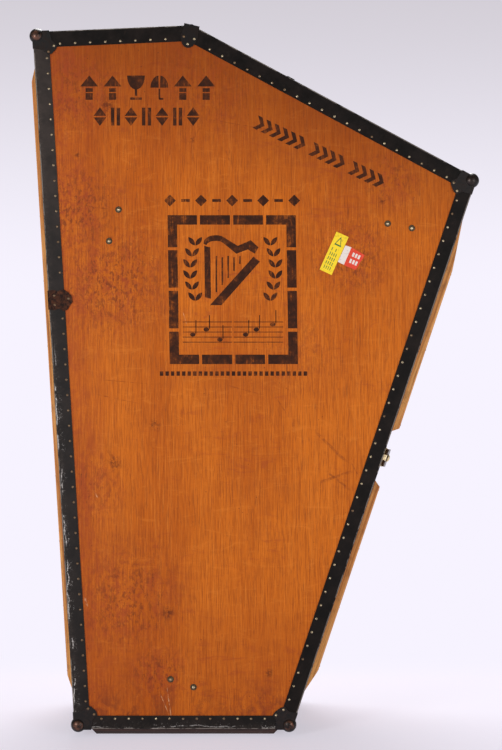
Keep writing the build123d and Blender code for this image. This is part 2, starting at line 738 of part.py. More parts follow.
hasp_frame = cross_plane(RIGHT, HASP_ALONG, HASP_OUT, SPLIT - HASP_Y, HASP_REST)
LUG_ROOM = 0.3  # each side of the plate's lug
EYE_ROOM = 1.0  # round the lug
with BuildPart() as hasp:
    with BuildSketch(hasp_frame):
        Circle(HASP_EYE)
        with Locations((sum(HASP_PLATE) / 2, HASP_LENGTH / 2)):
            Rectangle(HASP_PLATE[1] - HASP_PLATE[0], HASP_LENGTH)
        Circle(HASP_PIN + BORE_FIT, mode=Mode.SUBTRACT)
    extrude(amount=HASP_HALF, both=True)
    with BuildSketch(hasp_frame):
        Rectangle(2 * (HASP_EYE + EYE_ROOM), 2 * (HASP_EYE + EYE_ROOM))
    extrude(amount=HASP_LUG + LUG_ROOM, both=True, mode=Mode.SUBTRACT)
    with BuildSketch(hasp_frame):
        with Locations(((HASP_PLATE[0] - STAPLE_IN) / 2, STAPLE_AT)):
            Rectangle(HASP_PLATE[0] + STAPLE_IN, STAPLE_W)
    extrude(amount=HASP_EYE, both=True)
    boss_at = hasp_frame.from_local_coords((HASP_PLATE[1], BOSS_AT, 0))
    domes([Plane(boss_at, x_dir=hasp_frame.z_dir, z_dir=hasp_frame.x_dir)], BOSS_R, BOSS_H)
save(hasp, "hasp")

LOCK_BEVEL = 4.0
with BuildPart() as lock_body:
    block_on_side(RIGHT, HASP_ALONG, LOCK_HALF, (0, LOCK_TOP), LOCK_Y)
    chamfer(lock_body.edges().filter_by(Axis.Y).sort_by(Axis.X)[-2:], LOCK_BEVEL)
    block_on_side(RIGHT, HASP_ALONG, SLOT_HALF, (SLOT_FLOOR, LOCK_TOP), SLOT_Y, Mode.SUBTRACT)
    block_on_side(RIGHT, HASP_ALONG, SLIDE_HALF, (SLIDE_FLOOR, LOCK_TOP), SLIDE_Y, Mode.SUBTRACT)
save(lock_body, "lock_body")

SLIDE_FIT = 0.4
HEAD_PAST = 2.0  # the button's head past its stem, each way through the depth
BUTTON_AT = HASP_ALONG - BUTTON_SHIFT
with BuildPart() as lock_button:
    stem_y = (SLIDE_Y[0] + SLIDE_FIT, SLIDE_Y[1] - SLIDE_FIT)
    head_y = (SLIDE_Y[0] - HEAD_PAST, SLIDE_Y[1] + HEAD_PAST)
    head = (LOCK_TOP + SLIDE_FIT, LOCK_TOP + SLIDE_FIT + BUTTON_H)
    block_on_side(RIGHT, BUTTON_AT, BUTTON_HALF, (SLIDE_FLOOR + SLIDE_FIT, head[1]), stem_y)
    block_on_side(RIGHT, BUTTON_AT, BUTTON_HEAD, head, head_y)
save(lock_button, "lock_button")

# ---- draw bolt on the slope ----
DRAW_BASE_Y = (3.0, 54.0)
CHEEK_ROUND = LEVER_EYE + 1.0
with BuildPart() as draw_base:
    block_on_side(SLOPE, DRAW_ALONG, DRAW_HALF, (0, BASE_PLATE), DRAW_BASE_Y)
    for end, way in ((DRAW_ALONG - DRAW_HALF, 1), (DRAW_ALONG + DRAW_HALF, -1)):
        with BuildSketch(cross_plane(SLOPE, end, DRAW_OUT, SPLIT + DRAW_Y)):
            Circle(CHEEK_ROUND)
            with Locations((-DRAW_OUT / 2, 0)):
                Rectangle(DRAW_OUT, 2 * CHEEK_ROUND)
        extrude(amount=way * CHEEK)
        with BuildSketch(cross_plane(SLOPE, end, DRAW_OUT, SPLIT + DRAW_Y)):
            Circle(LEVER_PIN)
        extrude(amount=way * (DRAW_HALF - LEVER_HALF + CHEEK))
save(draw_base, "draw_base")

lever_frame = cross_plane(SLOPE, DRAW_ALONG, DRAW_OUT, SPLIT + DRAW_Y, DRAW_REST)
LEVER_PLATE = (18.0, LEVER_LENGTH)  # the lever's top plate, from its pivot
LIP_END = 3.0
with BuildPart() as draw_lever:
    for start in (-LEVER_HALF, LEVER_HALF - CHEEK):
        with BuildSketch(lever_frame.offset(start)):
            Circle(LEVER_EYE)
            with Locations((0, LEVER_LENGTH / 2)):
                Rectangle(2 * LEVER_EYE, LEVER_LENGTH)
            Circle(LEVER_PIN + BORE_FIT, mode=Mode.SUBTRACT)
        extrude(amount=CHEEK)
    with BuildSketch(lever_frame):
        with Locations((LEVER_TOP + LEVER_T / 2, sum(LEVER_PLATE) / 2)):
            Rectangle(LEVER_T, LEVER_PLATE[1] - LEVER_PLATE[0])
        with Locations((LEVER_TOP + LEVER_T, LEVER_LENGTH + LIP_END / 2)):
            Rectangle(2 * LEVER_T, LIP_END)
    extrude(amount=LEVER_HALF, both=True)
    with BuildSketch(lever_frame):
        with Locations((0, THROW)):
            Circle(HOOK_PIN)
    extrude(amount=LEVER_HALF, both=True)
save(draw_lever, "draw_lever")

hook_origin = lever_frame.from_local_coords((0, THROW, 0))
flat = cross_plane(SLOPE, DRAW_ALONG)
CLAW_OUT = (-5.0, 2.0)  # the claw's tip and its top, from the hook's middle
with BuildPart() as draw_hook:
    with BuildSketch(Plane(hook_origin, x_dir=flat.x_dir, z_dir=flat.z_dir)):
        Circle(HOOK_EYE)
        with Locations((0, -HOOK_REACH / 2)):
            Rectangle(HOOK_T, HOOK_REACH)
        with Locations((sum(CLAW_OUT) / 2, CLAW / 2 - HOOK_REACH)):
            Rectangle(CLAW_OUT[1] - CLAW_OUT[0], CLAW)
        Circle(HOOK_PIN + BORE_FIT, mode=Mode.SUBTRACT)
    extrude(amount=HOOK_HALF, both=True)
save(draw_hook, "draw_hook")

STRIKE_Y, STRIKE_TOP, STRIKE_HALF = (-14.8, -12.3), 6.0, 10.0
STRIKE_BASE_Y = (-26.0, -2.0)
with BuildPart() as draw_strike:
    block_on_side(SLOPE, DRAW_ALONG, DRAW_HALF, (0, FIBRE), STRIKE_BASE_Y)
    block_on_side(SLOPE, DRAW_ALONG, STRIKE_HALF, (FIBRE, STRIKE_TOP), STRIKE_Y)
save(draw_strike, "draw_strike")


# ---- drop handles on the sides of the case ----
def handle_pivot(side):
    return spot(side, along_at(side, HANDLE_H), HANDLE_OUT - FIBRE)


with BuildPart() as handle_plates:
    for side in (LEFT, RIGHT):
        middle = along_at(side, HANDLE_H)
        y = HANDLE_Y - SPLIT
        block_on_side(side, middle, PLATE_HALF_H, (-FIBRE, 0), (y - PLATE_HALF_Y, y + PLATE_HALF_Y))
        for lug in (-LUG_Y, LUG_Y):
            with BuildSketch(Plane.XZ.offset(-HANDLE_Y - lug - LUG_W / 2)):
                with BuildLine():
                    Polyline(
                        spot(side, middle - LUG_FOOT, -FIBRE / 2),
                        spot(side, middle + LUG_FOOT, -FIBRE / 2),
                        spot(side, middle + LUG_NECK, HANDLE_OUT - FIBRE),
                        spot(side, middle - LUG_NECK, HANDLE_OUT - FIBRE),
                        close=True,
                    )
                make_face()
                with Locations(handle_pivot(side)):
                    Circle(LUG_R)
                    Circle(BAIL_R + BORE_FIT, mode=Mode.SUBTRACT)
            extrude(amount=LUG_W)
save(handle_plates, "handle_plates")

BAIL_END = LUG_Y - 4.0  # the bail's ends, inside its lugs, from the handle's middle
for side in (LEFT, RIGHT):
    x, z = handle_pivot(side)
    with BuildPart() as bail:
        with BuildLine():
            FilletPolyline(
                (x, HANDLE_Y - BAIL_END, z),
                (x, HANDLE_Y - HANDLE_SPAN, z),
                (x, HANDLE_Y - HANDLE_SPAN, z - HANDLE_DROP),
                (x, HANDLE_Y + HANDLE_SPAN, z - HANDLE_DROP),
                (x, HANDLE_Y + HANDLE_SPAN, z),
                (x, HANDLE_Y + BAIL_END, z),
                radius=BAIL_BEND,
            )
        with BuildSketch(Plane((x, HANDLE_Y - BAIL_END, z), z_dir=(0, -1, 0))):
            Circle(BAIL_R)
        sweep()
    save(bail, f"handle_bail_{SIDES[side]}")
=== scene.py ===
"""Looks of the harp trunk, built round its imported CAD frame. Lengths are in metres."""
import math

import bmesh
import bpy
from mathutils import Matrix, Vector


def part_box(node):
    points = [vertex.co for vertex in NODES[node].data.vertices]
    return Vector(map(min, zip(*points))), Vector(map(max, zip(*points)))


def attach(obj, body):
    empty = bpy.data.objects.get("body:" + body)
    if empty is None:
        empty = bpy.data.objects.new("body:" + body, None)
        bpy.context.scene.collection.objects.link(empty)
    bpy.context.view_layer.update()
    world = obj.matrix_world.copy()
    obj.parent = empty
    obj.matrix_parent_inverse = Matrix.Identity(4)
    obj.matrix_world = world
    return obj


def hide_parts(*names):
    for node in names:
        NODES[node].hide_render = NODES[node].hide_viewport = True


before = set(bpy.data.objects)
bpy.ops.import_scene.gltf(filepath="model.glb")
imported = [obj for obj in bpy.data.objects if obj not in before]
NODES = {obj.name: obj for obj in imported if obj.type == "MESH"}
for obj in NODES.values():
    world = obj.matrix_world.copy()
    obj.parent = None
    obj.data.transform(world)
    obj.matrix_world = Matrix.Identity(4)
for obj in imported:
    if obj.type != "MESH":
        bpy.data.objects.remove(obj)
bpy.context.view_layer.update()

# ---- places, all worked out from the frame ----
WOOD_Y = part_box("lid_panel")[0].y  # the lid's wooden face


def face_outline(node):
    """Front corners of a flat-faced CAD panel, anticlockwise seen from the front, as (x, z)."""
    points = sorted({(round(v.co.x, 5), round(v.co.z, 5)) for v in NODES[node].data.vertices})
    hull = []
    for sweep in (points, points[::-1]):
        chain = []
        for p in sweep:
            while len(chain) > 1 and cross(chain[-2], chain[-1], p) <= 1e-7:
                chain.pop()
            chain.append(p)
        hull += chain[:-1]
    start = min(range(len(hull)), key=lambda i: hull[i][0] + 3 * hull[i][1])
    return hull[start:] + hull[:start]


def cross(a, b, c):
    return (b[0] - a[0]) * (c[1] - a[1]) - (b[1] - a[1]) * (c[0] - a[0])


CORNERS = face_outline("lid_panel")  # base left, base right, right top, peak, left top
BALL_START = -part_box("lid_peak_clamp")[0].y + 0.0015  # what stands further out than this is a ball
BOSS_TOP = max((v.co for v in NODES["hasp"].data.vertices), key=lambda co: 3 * co.x - co.z).copy()
BOSS_REACH = 0.0139  # how far the hasp's pale boss reaches from its top


# ---- shader helpers ----
def begin(name):
    """A new material, the builder of its nodes, and the socket of the place being shaded."""
    m = bpy.data.materials.new(name)
    m.use_nodes = True
    m.node_tree.nodes.clear()
    s = Shade(m.node_tree)
    return m, s, s.node("ShaderNodeTexCoord").outputs["Object"]


class Shade:
    """Builds the nodes of one tree: every method returns the socket that it makes."""

    def __init__(self, tree):
        self.tree = tree

    def node(self, kind, inputs=(), **settings):
        made = self.tree.nodes.new(kind)
        for key, value in settings.items():
            setattr(made, key, value)
        for key, value in dict(inputs).items():
            socket = made.inputs[key]
            if isinstance(value, bpy.types.NodeSocket):
                self.tree.links.new(value, socket)
            else:
                socket.default_value = value
        return made

    def math(self, operation, a, b=0.0):
        return self.node("ShaderNodeMath", {0: a, 1: b}, operation=operation).outputs[0]

    def add(self, a, b):
        return self.math("ADD", a, b)

    def times(self, a, b):
        return self.math("MULTIPLY", a, b)

    def ramp(self, value, low, high, out_low=0.0, out_high=1.0):
        """A smooth step of value between low and high."""
        ends = {"From Min": low, "From Max": high, "To Min": out_low, "To Max": out_high}
        made = self.node(
            "ShaderNodeMapRange", {"Value": value, **ends}, interpolation_type="SMOOTHSTEP"
        )
        return made.outputs["Result"]

    def mix(self, amount, a, b):
        made = self.node("ShaderNodeMix", data_type="RGBA")
        for socket, value in ((made.inputs[0], amount), (made.inputs[6], a), (made.inputs[7], b)):
            if isinstance(value, bpy.types.NodeSocket):
                self.tree.links.new(value, socket)
            else:
                socket.default_value = value
        return made.outputs[2]

    def wash(self, colour, over, where, strength):
        """Lays a colour over another where a mask says so."""
        return self.mix(self.times(where, strength), colour, over)

    def stretch(self, vector, scale, turn=(0, 0, 0)):
        made = self.node("ShaderNodeMapping", {"Vector": vector, "Scale": scale, "Rotation": turn})
        return made.outputs["Vector"]

    def noise(self, vector, scale, detail=4.0, rough=0.55, bend=0.0):
        look = {"Scale": scale, "Detail": detail, "Roughness": rough, "Distortion": bend}
        return self.node("ShaderNodeTexNoise", {"Vector": vector, **look}).outputs["Fac"]

    def cells(self, vector, scale):
        made = self.node("ShaderNodeTexVoronoi", {"Vector": vector, "Scale": scale})
        return made.outputs["Distance"]

    def split(self, vector):
        return self.node("ShaderNodeSeparateXYZ", {0: vector}).outputs

    def bump(self, height, strength, distance):
        look = {"Height": height, "Strength": strength, "Distance": distance}
        return self.node("ShaderNodeBump", look).outputs["Normal"]

    def blob(self, vector, centre, radius):
        """1 at a place on the front, falling to 0 at the radius."""
        x, _, z = self.split(vector)
        dx = self.math("SUBTRACT", x, centre[0])
        dz = self.math("SUBTRACT", z, centre[1])
        far = self.math("SQRT", self.add(self.times(dx, dx), self.times(dz, dz)))
        return self.ramp(far, radius, 0.0)

    def stroke(self, vector, start, end, width):
        """1 along a straight mark on the front, fading at its sides and ends."""
        length = math.dist(start, end)
        ux, uz = (end[0] - start[0]) / length, (end[1] - start[1]) / length
        x, _, z = self.split(vector)
        dx = self.math("SUBTRACT", x, start[0])
        dz = self.math("SUBTRACT", z, start[1])
        along = self.add(self.times(dx, ux), self.times(dz, uz))
        across = self.math("ABSOLUTE", self.add(self.times(dx, -uz), self.times(dz, ux)))
        wide = self.ramp(across, width, width * 0.3)
        begun = self.ramp(along, 0.0, length * 0.2)
        return self.times(wide, self.times(begun, self.ramp(along, length, length * 0.7)))

    def side_distance(self, vector, corner):
        """Distance inwards from one edge of the front outline, in the plane of the front."""
        (x0, z0), (x1, z1) = CORNERS[corner], CORNERS[(corner + 1) % 5]
        length = math.dist((x0, z0), (x1, z1))
        nx, nz = -(z1 - z0) / length, (x1 - x0) / length
        x, _, z = self.split(vector)
        return self.add(self.add(self.times(x, nx), self.times(z, nz)), -(x0 * nx + z0 * nz))

    def blend(self, output, amount, first, second):
        """Ends the tree in a mix of two shaders."""
        mixed = self.node("ShaderNodeMixShader", {0: amount})
        self.tree.links.new(first.outputs[0], mixed.inputs[1])
        self.tree.links.new(second.outputs[0], mixed.inputs[2])
        self.tree.links.new(mixed.outputs[0], self.node(output).inputs["Surface"])

    def surface(self, colour, rough, normal=None, metal=0.0, **sockets):
        look = {"Base Color": colour, "Roughness": rough, "Metallic": metal}
        made = self.node("ShaderNodeBsdfPrincipled", look)
        for key, value in sockets.items():
            made.inputs[key.replace("_", " ")].default_value = value
        if normal is not None:
            self.tree.links.new(normal, made.inputs["Normal"])
        out = self.node("ShaderNodeOutputMaterial")
        self.tree.links.new(made.outputs[0], out.inputs["Surface"])


def rgb(*values):
    """A linear colour from 8-bit display values."""
    curve = (((v / 255 + 0.055) / 1.055) ** 2.4 if v > 10 else v / 3295 for v in values)
    return tuple(curve) + (1.0,)


def dimmed(colour, share):
    return tuple(share * c for c in colour[:3]) + (1,)


# ---- wood ----
ALONG_Z = (1.0, 1.0, 0.022)  # grain runs up the object
ALONG_Y = (1.0, 0.022, 1.0)
OAK_DEEP = rgb(174, 84, 12)
OAK_LIGHT = rgb(198, 104, 20)
OAK_PALE = rgb(214, 126, 44)
OAK_DARK = rgb(142, 64, 10)
OAK_PORE = rgb(106, 46, 12)
OAK_PORE_DEEP = rgb(76, 28, 8)
OAK_CLOUD = rgb(138, 62, 18)
OAK_TOP_SHADE = rgb(112, 46, 6)  # painted shade towards the top of the face
OAK_BASE_SHADE = rgb(140, 54, 10)  # painted shade towards its base
OAK_GRIME = rgb(126, 58, 24)
KNOCK = rgb(76, 30, 12)
SPECK = rgb(80, 34, 16)
DENT = rgb(104, 42, 14)
DENT_PALE = rgb(226, 176, 128)
STAIN = rgb(104, 46, 20)
RED_STAIN = rgb(140, 56, 28)
SCRATCHES = (  # start, end, half width, on the front face
    ((0.365, 0.860), (0.476, 0.752), 0.0060),
    ((0.372, 0.708), (0.484, 0.746), 0.0060),
    ((0.395, 0.748), (0.478, 0.684), 0.0044),
    ((0.470, 0.770), (0.500, 0.715), 0.0026),
    ((0.262, 0.948), (0.300, 0.890), 0.0024),
    ((-0.264, 1.484), (-0.182, 1.475), 0.0016),
    ((0.116, 1.652), (0.134, 1.606), 0.0032),
    ((-0.214, 0.806), (-0.170, 0.752), 0.0060),
    ((0.120, 0.985), (0.230, 0.955), 0.0018),
    ((0.540, 1.470), (0.500, 1.250), 0.0018),
    ((0.452, 1.660), (0.442, 1.560), 0.0014),
    ((0.060, 1.730), (0.300, 1.690), 0.0014),
    ((-0.250, 0.960), (-0.110, 0.930), 0.0016),
    ((-0.240, 1.000), (-0.060, 0.985), 0.0012),
)
STAINS = (  # centre, radius and strength on the front face
    ((-0.196, 1.275), 0.24, 0.80),
    ((-0.305, 1.480), 0.19, 0.85),
    ((-0.150, 0.385), 0.22, 0.70),
    ((-0.070, 0.175), 0.13, 0.75),
    ((0.470, 1.345), 0.17, 0.75),
    ((0.585, 1.555), 0.14, 0.55),
    ((-0.296, 1.800), 0.20, 0.55),
    ((-0.250, 0.700), 0.16, 0.45),
    ((0.050, 1.800), 0.26, 0.35),
    ((0.330, 1.080), 0.20, 0.30),
    ((0.210, 0.085), 0.12, 0.45),
)
DARK_SPOTS = (  # centre and radius on the front face
    ((-0.078, 0.872), 0.024),
    ((-0.190, 0.765), 0.030),
    ((-0.212, 1.765), 0.030),
    ((-0.296, 1.628), 0.012),
    ((0.026, 1.672), 0.014),
    ((-0.041, 0.346), 0.026),
    ((0.241, 0.178), 0.018),
    ((-0.150, 0.060), 0.016),
    ((-0.205, 1.395), 0.012),
    ((0.560, 1.500), 0.014),
)
PALE_SCUFFS = (  # start, end, half width, on the front face
    ((-0.046, 0.150), (-0.030, 0.036), 0.0020),
    ((-0.066, 0.126), (-0.036, 0.056), 0.0016),
    ((-0.275, 0.392), (-0.266, 0.356), 0.0040),
    ((-0.248, 0.690), (-0.236, 0.664), 0.0030),
    ((0.000, 1.190), (0.012, 1.150), 0.0012),
)


def veneer(s, spot, grain):
    """Varnished oak veneer: colour, roughness and height sockets."""

    def along(factor):
        return s.stretch(spot, tuple(g * factor if g < 1 else g for g in grain))

    sway = s.noise(along(8.0), 7.0, 3.0, 0.5)
    drift = s.noise(along(12.0), 2.6, 4.0, 0.6, 0.5)
    bands = s.noise(along(1.0), 260.0, 4.0, 0.66, 0.8)
    flecks = s.noise(along(1.8), 360.0, 3.0, 0.62, 0.5)
    fine = s.noise(along(0.9), 700.0, 3.0, 0.65)
    pores = s.ramp(s.noise(along(1.8), 560.0, 2.0, 0.5, 0.4), 0.60, 0.68)
    mottle = s.noise(spot, 60.0, 6.0, 0.78, 0.5)
    tone = s.add(s.times(drift, 0.6), s.times(sway, 0.4))
    colour = s.mix(s.ramp(tone, 0.36, 0.64), OAK_DEEP, OAK_LIGHT)
    colour = s.wash(colour, OAK_PALE, s.ramp(bands, 0.50, 0.68), 0.40)
    colour = s.wash(colour, OAK_DARK, s.ramp(bands, 0.50, 0.34), 0.42)
    colour = s.wash(colour, OAK_DARK, s.ramp(flecks, 0.52, 0.66), 0.42)
    colour = s.wash(colour, OAK_DARK, s.ramp(mottle, 0.52, 0.70), 0.22)
    colour = s.wash(colour, OAK_PORE, s.ramp(fine, 0.52, 0.36), 0.45)
    colour = s.wash(colour, OAK_PORE_DEEP, pores, 0.40)
    rough = s.ramp(bands, 0.2, 0.8, 0.42, 0.56)
    height = s.math("SUBTRACT", s.times(fine, 0.5), pores)
    return colour, rough, height


def aged_front(s, spot, colour):
    """Stains, knocks and scratches that only the lid's face has, and painted shade towards its top
    and its base.
    """
    x, _, z = s.split(spot)
    cloud = s.noise(spot, 3.4, 6.0, 0.66, 0.4)
    grime = s.noise(s.stretch(spot, (1, 1, 0.6)), 30.0, 7.0, 0.78, 0.6)
    crumbs = s.noise(spot, 130.0, 4.0, 0.7)
    colour = s.wash(colour, OAK_CLOUD, s.ramp(cloud, 0.46, 0.70), 0.26)
    smear = s.noise(s.stretch(spot, (0.45, 1, 1.7), (0, 0.45, 0)), 24.0, 7.0, 0.78, 0.9)
    rubbed = s.ramp(s.noise(spot, 4.2, 3.0, 0.6), 0.44, 0.62)
    colour = s.wash(colour, RED_STAIN, s.times(s.ramp(smear, 0.52, 0.64), rubbed), 0.40)
    colour = s.wash(colour, OAK_PALE, s.ramp(smear, 0.46, 0.34), 0.22)
    # painted shade: the face darkens towards its top
    high = s.ramp(s.add(z, s.times(x, 0.30)), 1.50, 2.00)
    colour = s.wash(colour, OAK_TOP_SHADE, high, 0.70)
    # painted shade: the face darkens towards its base
    low = s.ramp(z, 0.62, 0.02)
    colour = s.wash(colour, OAK_BASE_SHADE, low, 0.30)
    near_left = s.ramp(s.side_distance(spot, 4), 0.20, 0.04)
    colour = s.mix(s.times(near_left, s.ramp(grime, 0.40, 0.64, 0.15, 0.55)), colour, RED_STAIN)
    near_base = s.ramp(s.side_distance(spot, 0), 0.16, 0.04)
    colour = s.mix(s.times(near_base, s.ramp(grime, 0.45, 0.62, 0.0, 0.55)), colour, STAIN)
    broken = s.ramp(s.add(s.times(grime, 0.65), s.times(crumbs, 0.35)), 0.44, 0.60)
    stained = 0.0
    for centre, radius, strength in STAINS:
        stained = s.math("MAXIMUM", stained, s.times(s.blob(spot, centre, radius), strength))
    pitted = s.ramp(s.noise(s.stretch(spot, (1, 1, 0.5)), 130.0, 4.0, 0.7, 0.4), 0.51, 0.60)
    colour = s.mix(s.times(stained, broken), colour, RED_STAIN)
    colour = s.wash(colour, STAIN, s.times(stained, pitted), 0.90)
    for centre, radius in DARK_SPOTS:
        dab = s.times(s.blob(spot, centre, radius), s.ramp(crumbs, 0.40, 0.60))
        colour = s.wash(colour, KNOCK, dab, 0.80)
    specks = s.ramp(s.cells(spot, 46.0), 0.095, 0.045)
    gate = s.ramp(s.noise(spot, 5.0, 2.0), 0.48, 0.60)
    colour = s.wash(colour, SPECK, s.times(specks, gate), 0.65)
    marks = 0.0
    worn = s.ramp(s.noise(spot, 90.0, 4.0, 0.7), 0.38, 0.62)
    for strokes, strength, tint in ((SCRATCHES, 0.52, DENT), (PALE_SCUFFS, 0.55, DENT_PALE)):
        for start, end, width in strokes:
            dent = s.times(s.stroke(spot, start, end, width), worn)
            colour = s.mix(s.times(dent, strength), colour, tint)
            marks = s.math("MAXIMUM", marks, dent)
    return colour, marks


def oak(name, grain, front=False):
    m, s, spot = begin(name)
    colour, rough, height = veneer(s, spot, grain)
    if front:
        colour, marks = aged_front(s, spot, colour)
        height = s.math("SUBTRACT", height, s.times(marks, 3.0))
    else:
        grime = s.noise(spot, 7.0, 5.0, 0.65)
        colour = s.wash(colour, OAK_GRIME, s.ramp(grime, 0.45, 0.7), 0.45)
    s.surface(colour, rough, s.bump(height, 0.35, 0.0004), Specular_IOR_Level=0.12)
    return m


def stencil_paint(name):
    """Worn stencil paint: where it has rubbed off, the veneer of the same place shows."""
    m, s, spot = begin(name)
    colour, _, height = veneer(s, spot, ALONG_Z)
    # the veneer beneath carries the face's stains and its painted shade
    colour, _ = aged_front(s, spot, colour)
    streak = s.noise(s.stretch(spot, (1, 1, 0.05)), 300.0, 4.0, 0.7)
    patch = s.noise(spot, 34.0, 5.0, 0.7, 0.3)
    worn = s.ramp(s.add(s.times(streak, 0.45), s.times(patch, 0.55)), 0.52, 0.66)
    ink = s.mix(s.ramp(patch, 0.35, 0.65), rgb(44, 20, 8), rgb(72, 34, 12))
    colour = s.mix(s.times(worn, 0.60), ink, colour)
    s.surface(colour, 0.6, s.bump(height, 0.3, 0.0004), Specular_IOR_Level=0.12)
    return m


def slat_wood(name):
    """Hardwood batten, dirty in places, whose grain runs along each side's own slope."""
    m, s, spot = begin(name)
    left = s.stretch(s.stretch(spot, (1, 1, 1), (0, side_lean(4), 0)), ALONG_Z)
    right = s.stretch(s.stretch(spot, (1, 1, 1), (0, side_lean(1), 0)), ALONG_Z)
    long = s.mix(s.math("GREATER_THAN", s.split(spot)[0], 0.0), left, right)
    bands = s.noise(long, 90.0, 5.0, 0.6, 0.7)
    fine = s.noise(long, 480.0, 3.0, 0.7)
    dirt = s.noise(spot, 22.0, 6.0, 0.7)
    colour = s.mix(s.ramp(bands, 0.35, 0.68), rgb(186, 112, 44), rgb(238, 174, 98))
    colour = s.wash(colour, rgb(112, 56, 18), s.ramp(fine, 0.52, 0.36), 0.45)
    colour = s.wash(colour, rgb(104, 56, 24), s.ramp(dirt, 0.50, 0.68), 0.38)
    height = s.add(s.times(fine, 0.5), s.times(bands, 0.4))
    rough = s.ramp(bands, 0.3, 0.7, 0.45, 0.6)
    s.surface(colour, rough, s.bump(height, 0.4, 0.0005), Specular_IOR_Level=0.3)
    return m


def side_lean(side):
    """How far a side leans from the upright, as the turn that stands its grain on end."""
    (x0, z0), (x1, z1) = CORNERS[side], CORNERS[(side + 1) % 5]
    return -math.atan((x1 - x0) / (z1 - z0))


def plain_wood(name, dark, light, grain, rough):
    m, s, spot = begin(name)
    long = s.stretch(spot, grain)
    bands = s.noise(long, 60.0, 5.0, 0.62, 0.7)
    fine = s.noise(long, 380.0, 3.0, 0.7)
    scuff = s.noise(spot, 38.0, 6.0, 0.75)
    colour = s.mix(s.ramp(bands, 0.33, 0.68), dark, light)
    colour = s.wash(colour, dimmed(dark, 0.5), s.ramp(fine, 0.52, 0.38), 0.4)
    rubbed = tuple(0.5 + 0.5 * c for c in light[:3]) + (1,)
    colour = s.wash(colour, rubbed, s.ramp(scuff, 0.60, 0.72), 0.35)
    s.surface(colour, rough, s.bump(s.add(fine, bands), 0.35, 0.0005))
    return m


# ---- fibre, metal and cloth ----
def fibre(name, corner=None, wear=0.4):
    """Black vulcanised fibre: faintly pebbled, greyed where it is rubbed, and on a worn side greyer
    towards the top, partly rubbing and partly a painted sheen.

    corner is the first corner of the side whose worn outer edge has pale scuffs on the face.
    """
    m, s, spot = begin(name)
    pebble = s.noise(spot, 520.0, 3.0, 0.6)
    cloud = s.noise(spot, 14.0, 5.0, 0.65)
    rub = s.noise(spot, 90.0, 6.0, 0.78, 0.3)
    colour = s.mix(s.ramp(cloud, 0.35, 0.7), rgb(13, 10, 8), rgb(27, 21, 18))
    colour = s.wash(colour, rgb(70, 54, 42), s.ramp(rub, 0.60, 0.74), 0.45)
    if corner is not None:
        _, y, z = s.split(spot)
        # partly rubbed grey and partly a painted sheen, stronger higher up on a worn side
        rubbed_grey_and_sheen = s.ramp(z, 1.30, 1.60, 0.12 * wear, 0.55 * wear)
        rubbed_grey_and_sheen = s.times(s.ramp(cloud, 0.30, 0.65, 0.40, 0.80), rubbed_grey_and_sheen)
        colour = s.mix(rubbed_grey_and_sheen, colour, rgb(66, 56, 50))
        edge = s.math("ABSOLUTE", s.side_distance(spot, corner))
        flakes = s.noise(spot, 120.0, 7.0, 0.86, 1.2)
        gaps = s.noise(spot, 17.0, 5.0, 0.75)
        sway = s.noise(spot, 7.0, 4.0, 0.7)
        across = s.math("ABSOLUTE", s.add(edge, s.ramp(sway, 0.30, 0.70, -0.0005, -0.0105)))
        line = s.times(s.ramp(across, 0.0019, 0.0008), s.ramp(gaps, 0.47, 0.53, 0.0, 0.75))
        stray = s.times(s.ramp(flakes, 0.57, 0.63), s.ramp(gaps, 0.46, 0.58))
        stray = s.times(s.ramp(edge, 0.0240, 0.0080), stray)
        front = s.ramp(y, WOOD_Y + 0.0030, WOOD_Y + 0.0005)
        broken = s.ramp(s.noise(spot, 260.0, 4.0, 0.8), 0.44, 0.54, 0.25, 1.0)
        scuffs = s.times(s.math("MAXIMUM", s.times(line, broken), stray), s.ramp(z, 1.12, 0.98))
        colour = s.wash(colour, rgb(214, 208, 202), s.times(scuffs, front), 0.90 * wear)
        haze = s.times(s.ramp(edge, 0.020, 0.003), s.ramp(flakes, 0.46, 0.64, 0.0, 0.40 * wear))
        colour = s.mix(s.times(haze, front), colour, rgb(84, 74, 66))
        rim = s.times(s.ramp(edge, 0.0018, 0.0004), s.ramp(gaps, 0.40, 0.52))
        colour = s.wash(colour, rgb(140, 130, 120), s.times(rim, front), 0.65)
    rough = s.ramp(rub, 0.3, 0.7, 0.36, 0.55)
    height = s.add(s.times(pebble, 0.5), rub)
    s.surface(
        colour, rough, s.bump(height, 0.35, 0.0005), Specular_IOR_Level=0.10 + 0.08 * wear
    )
    return m


def metal(name, clean, tarnish, amount, rough=(0.25, 0.5), scale=60.0, metallic=1.0):
    """Metal that has tarnished or lost its finish in patches."""
    m, s, spot = begin(name)
    patch = s.noise(spot, scale, 6.0, 0.72, 0.4)
    grain = s.noise(spot, 700.0, 3.0, 0.6)
    worn = s.ramp(patch, 0.62 - 0.3 * amount, 0.74 - 0.2 * amount)
    colour = s.mix(worn, clean, tarnish)
    colour = s.wash(colour, dimmed(tarnish, 0.35), s.ramp(grain, 0.55, 0.4), 0.25)
    roughness = s.ramp(patch, 0.35, 0.7, *rough)
    s.surface(colour, roughness, s.bump(s.add(patch, s.times(grain, 0.4)), 0.3, 0.0004), metallic)
    return m


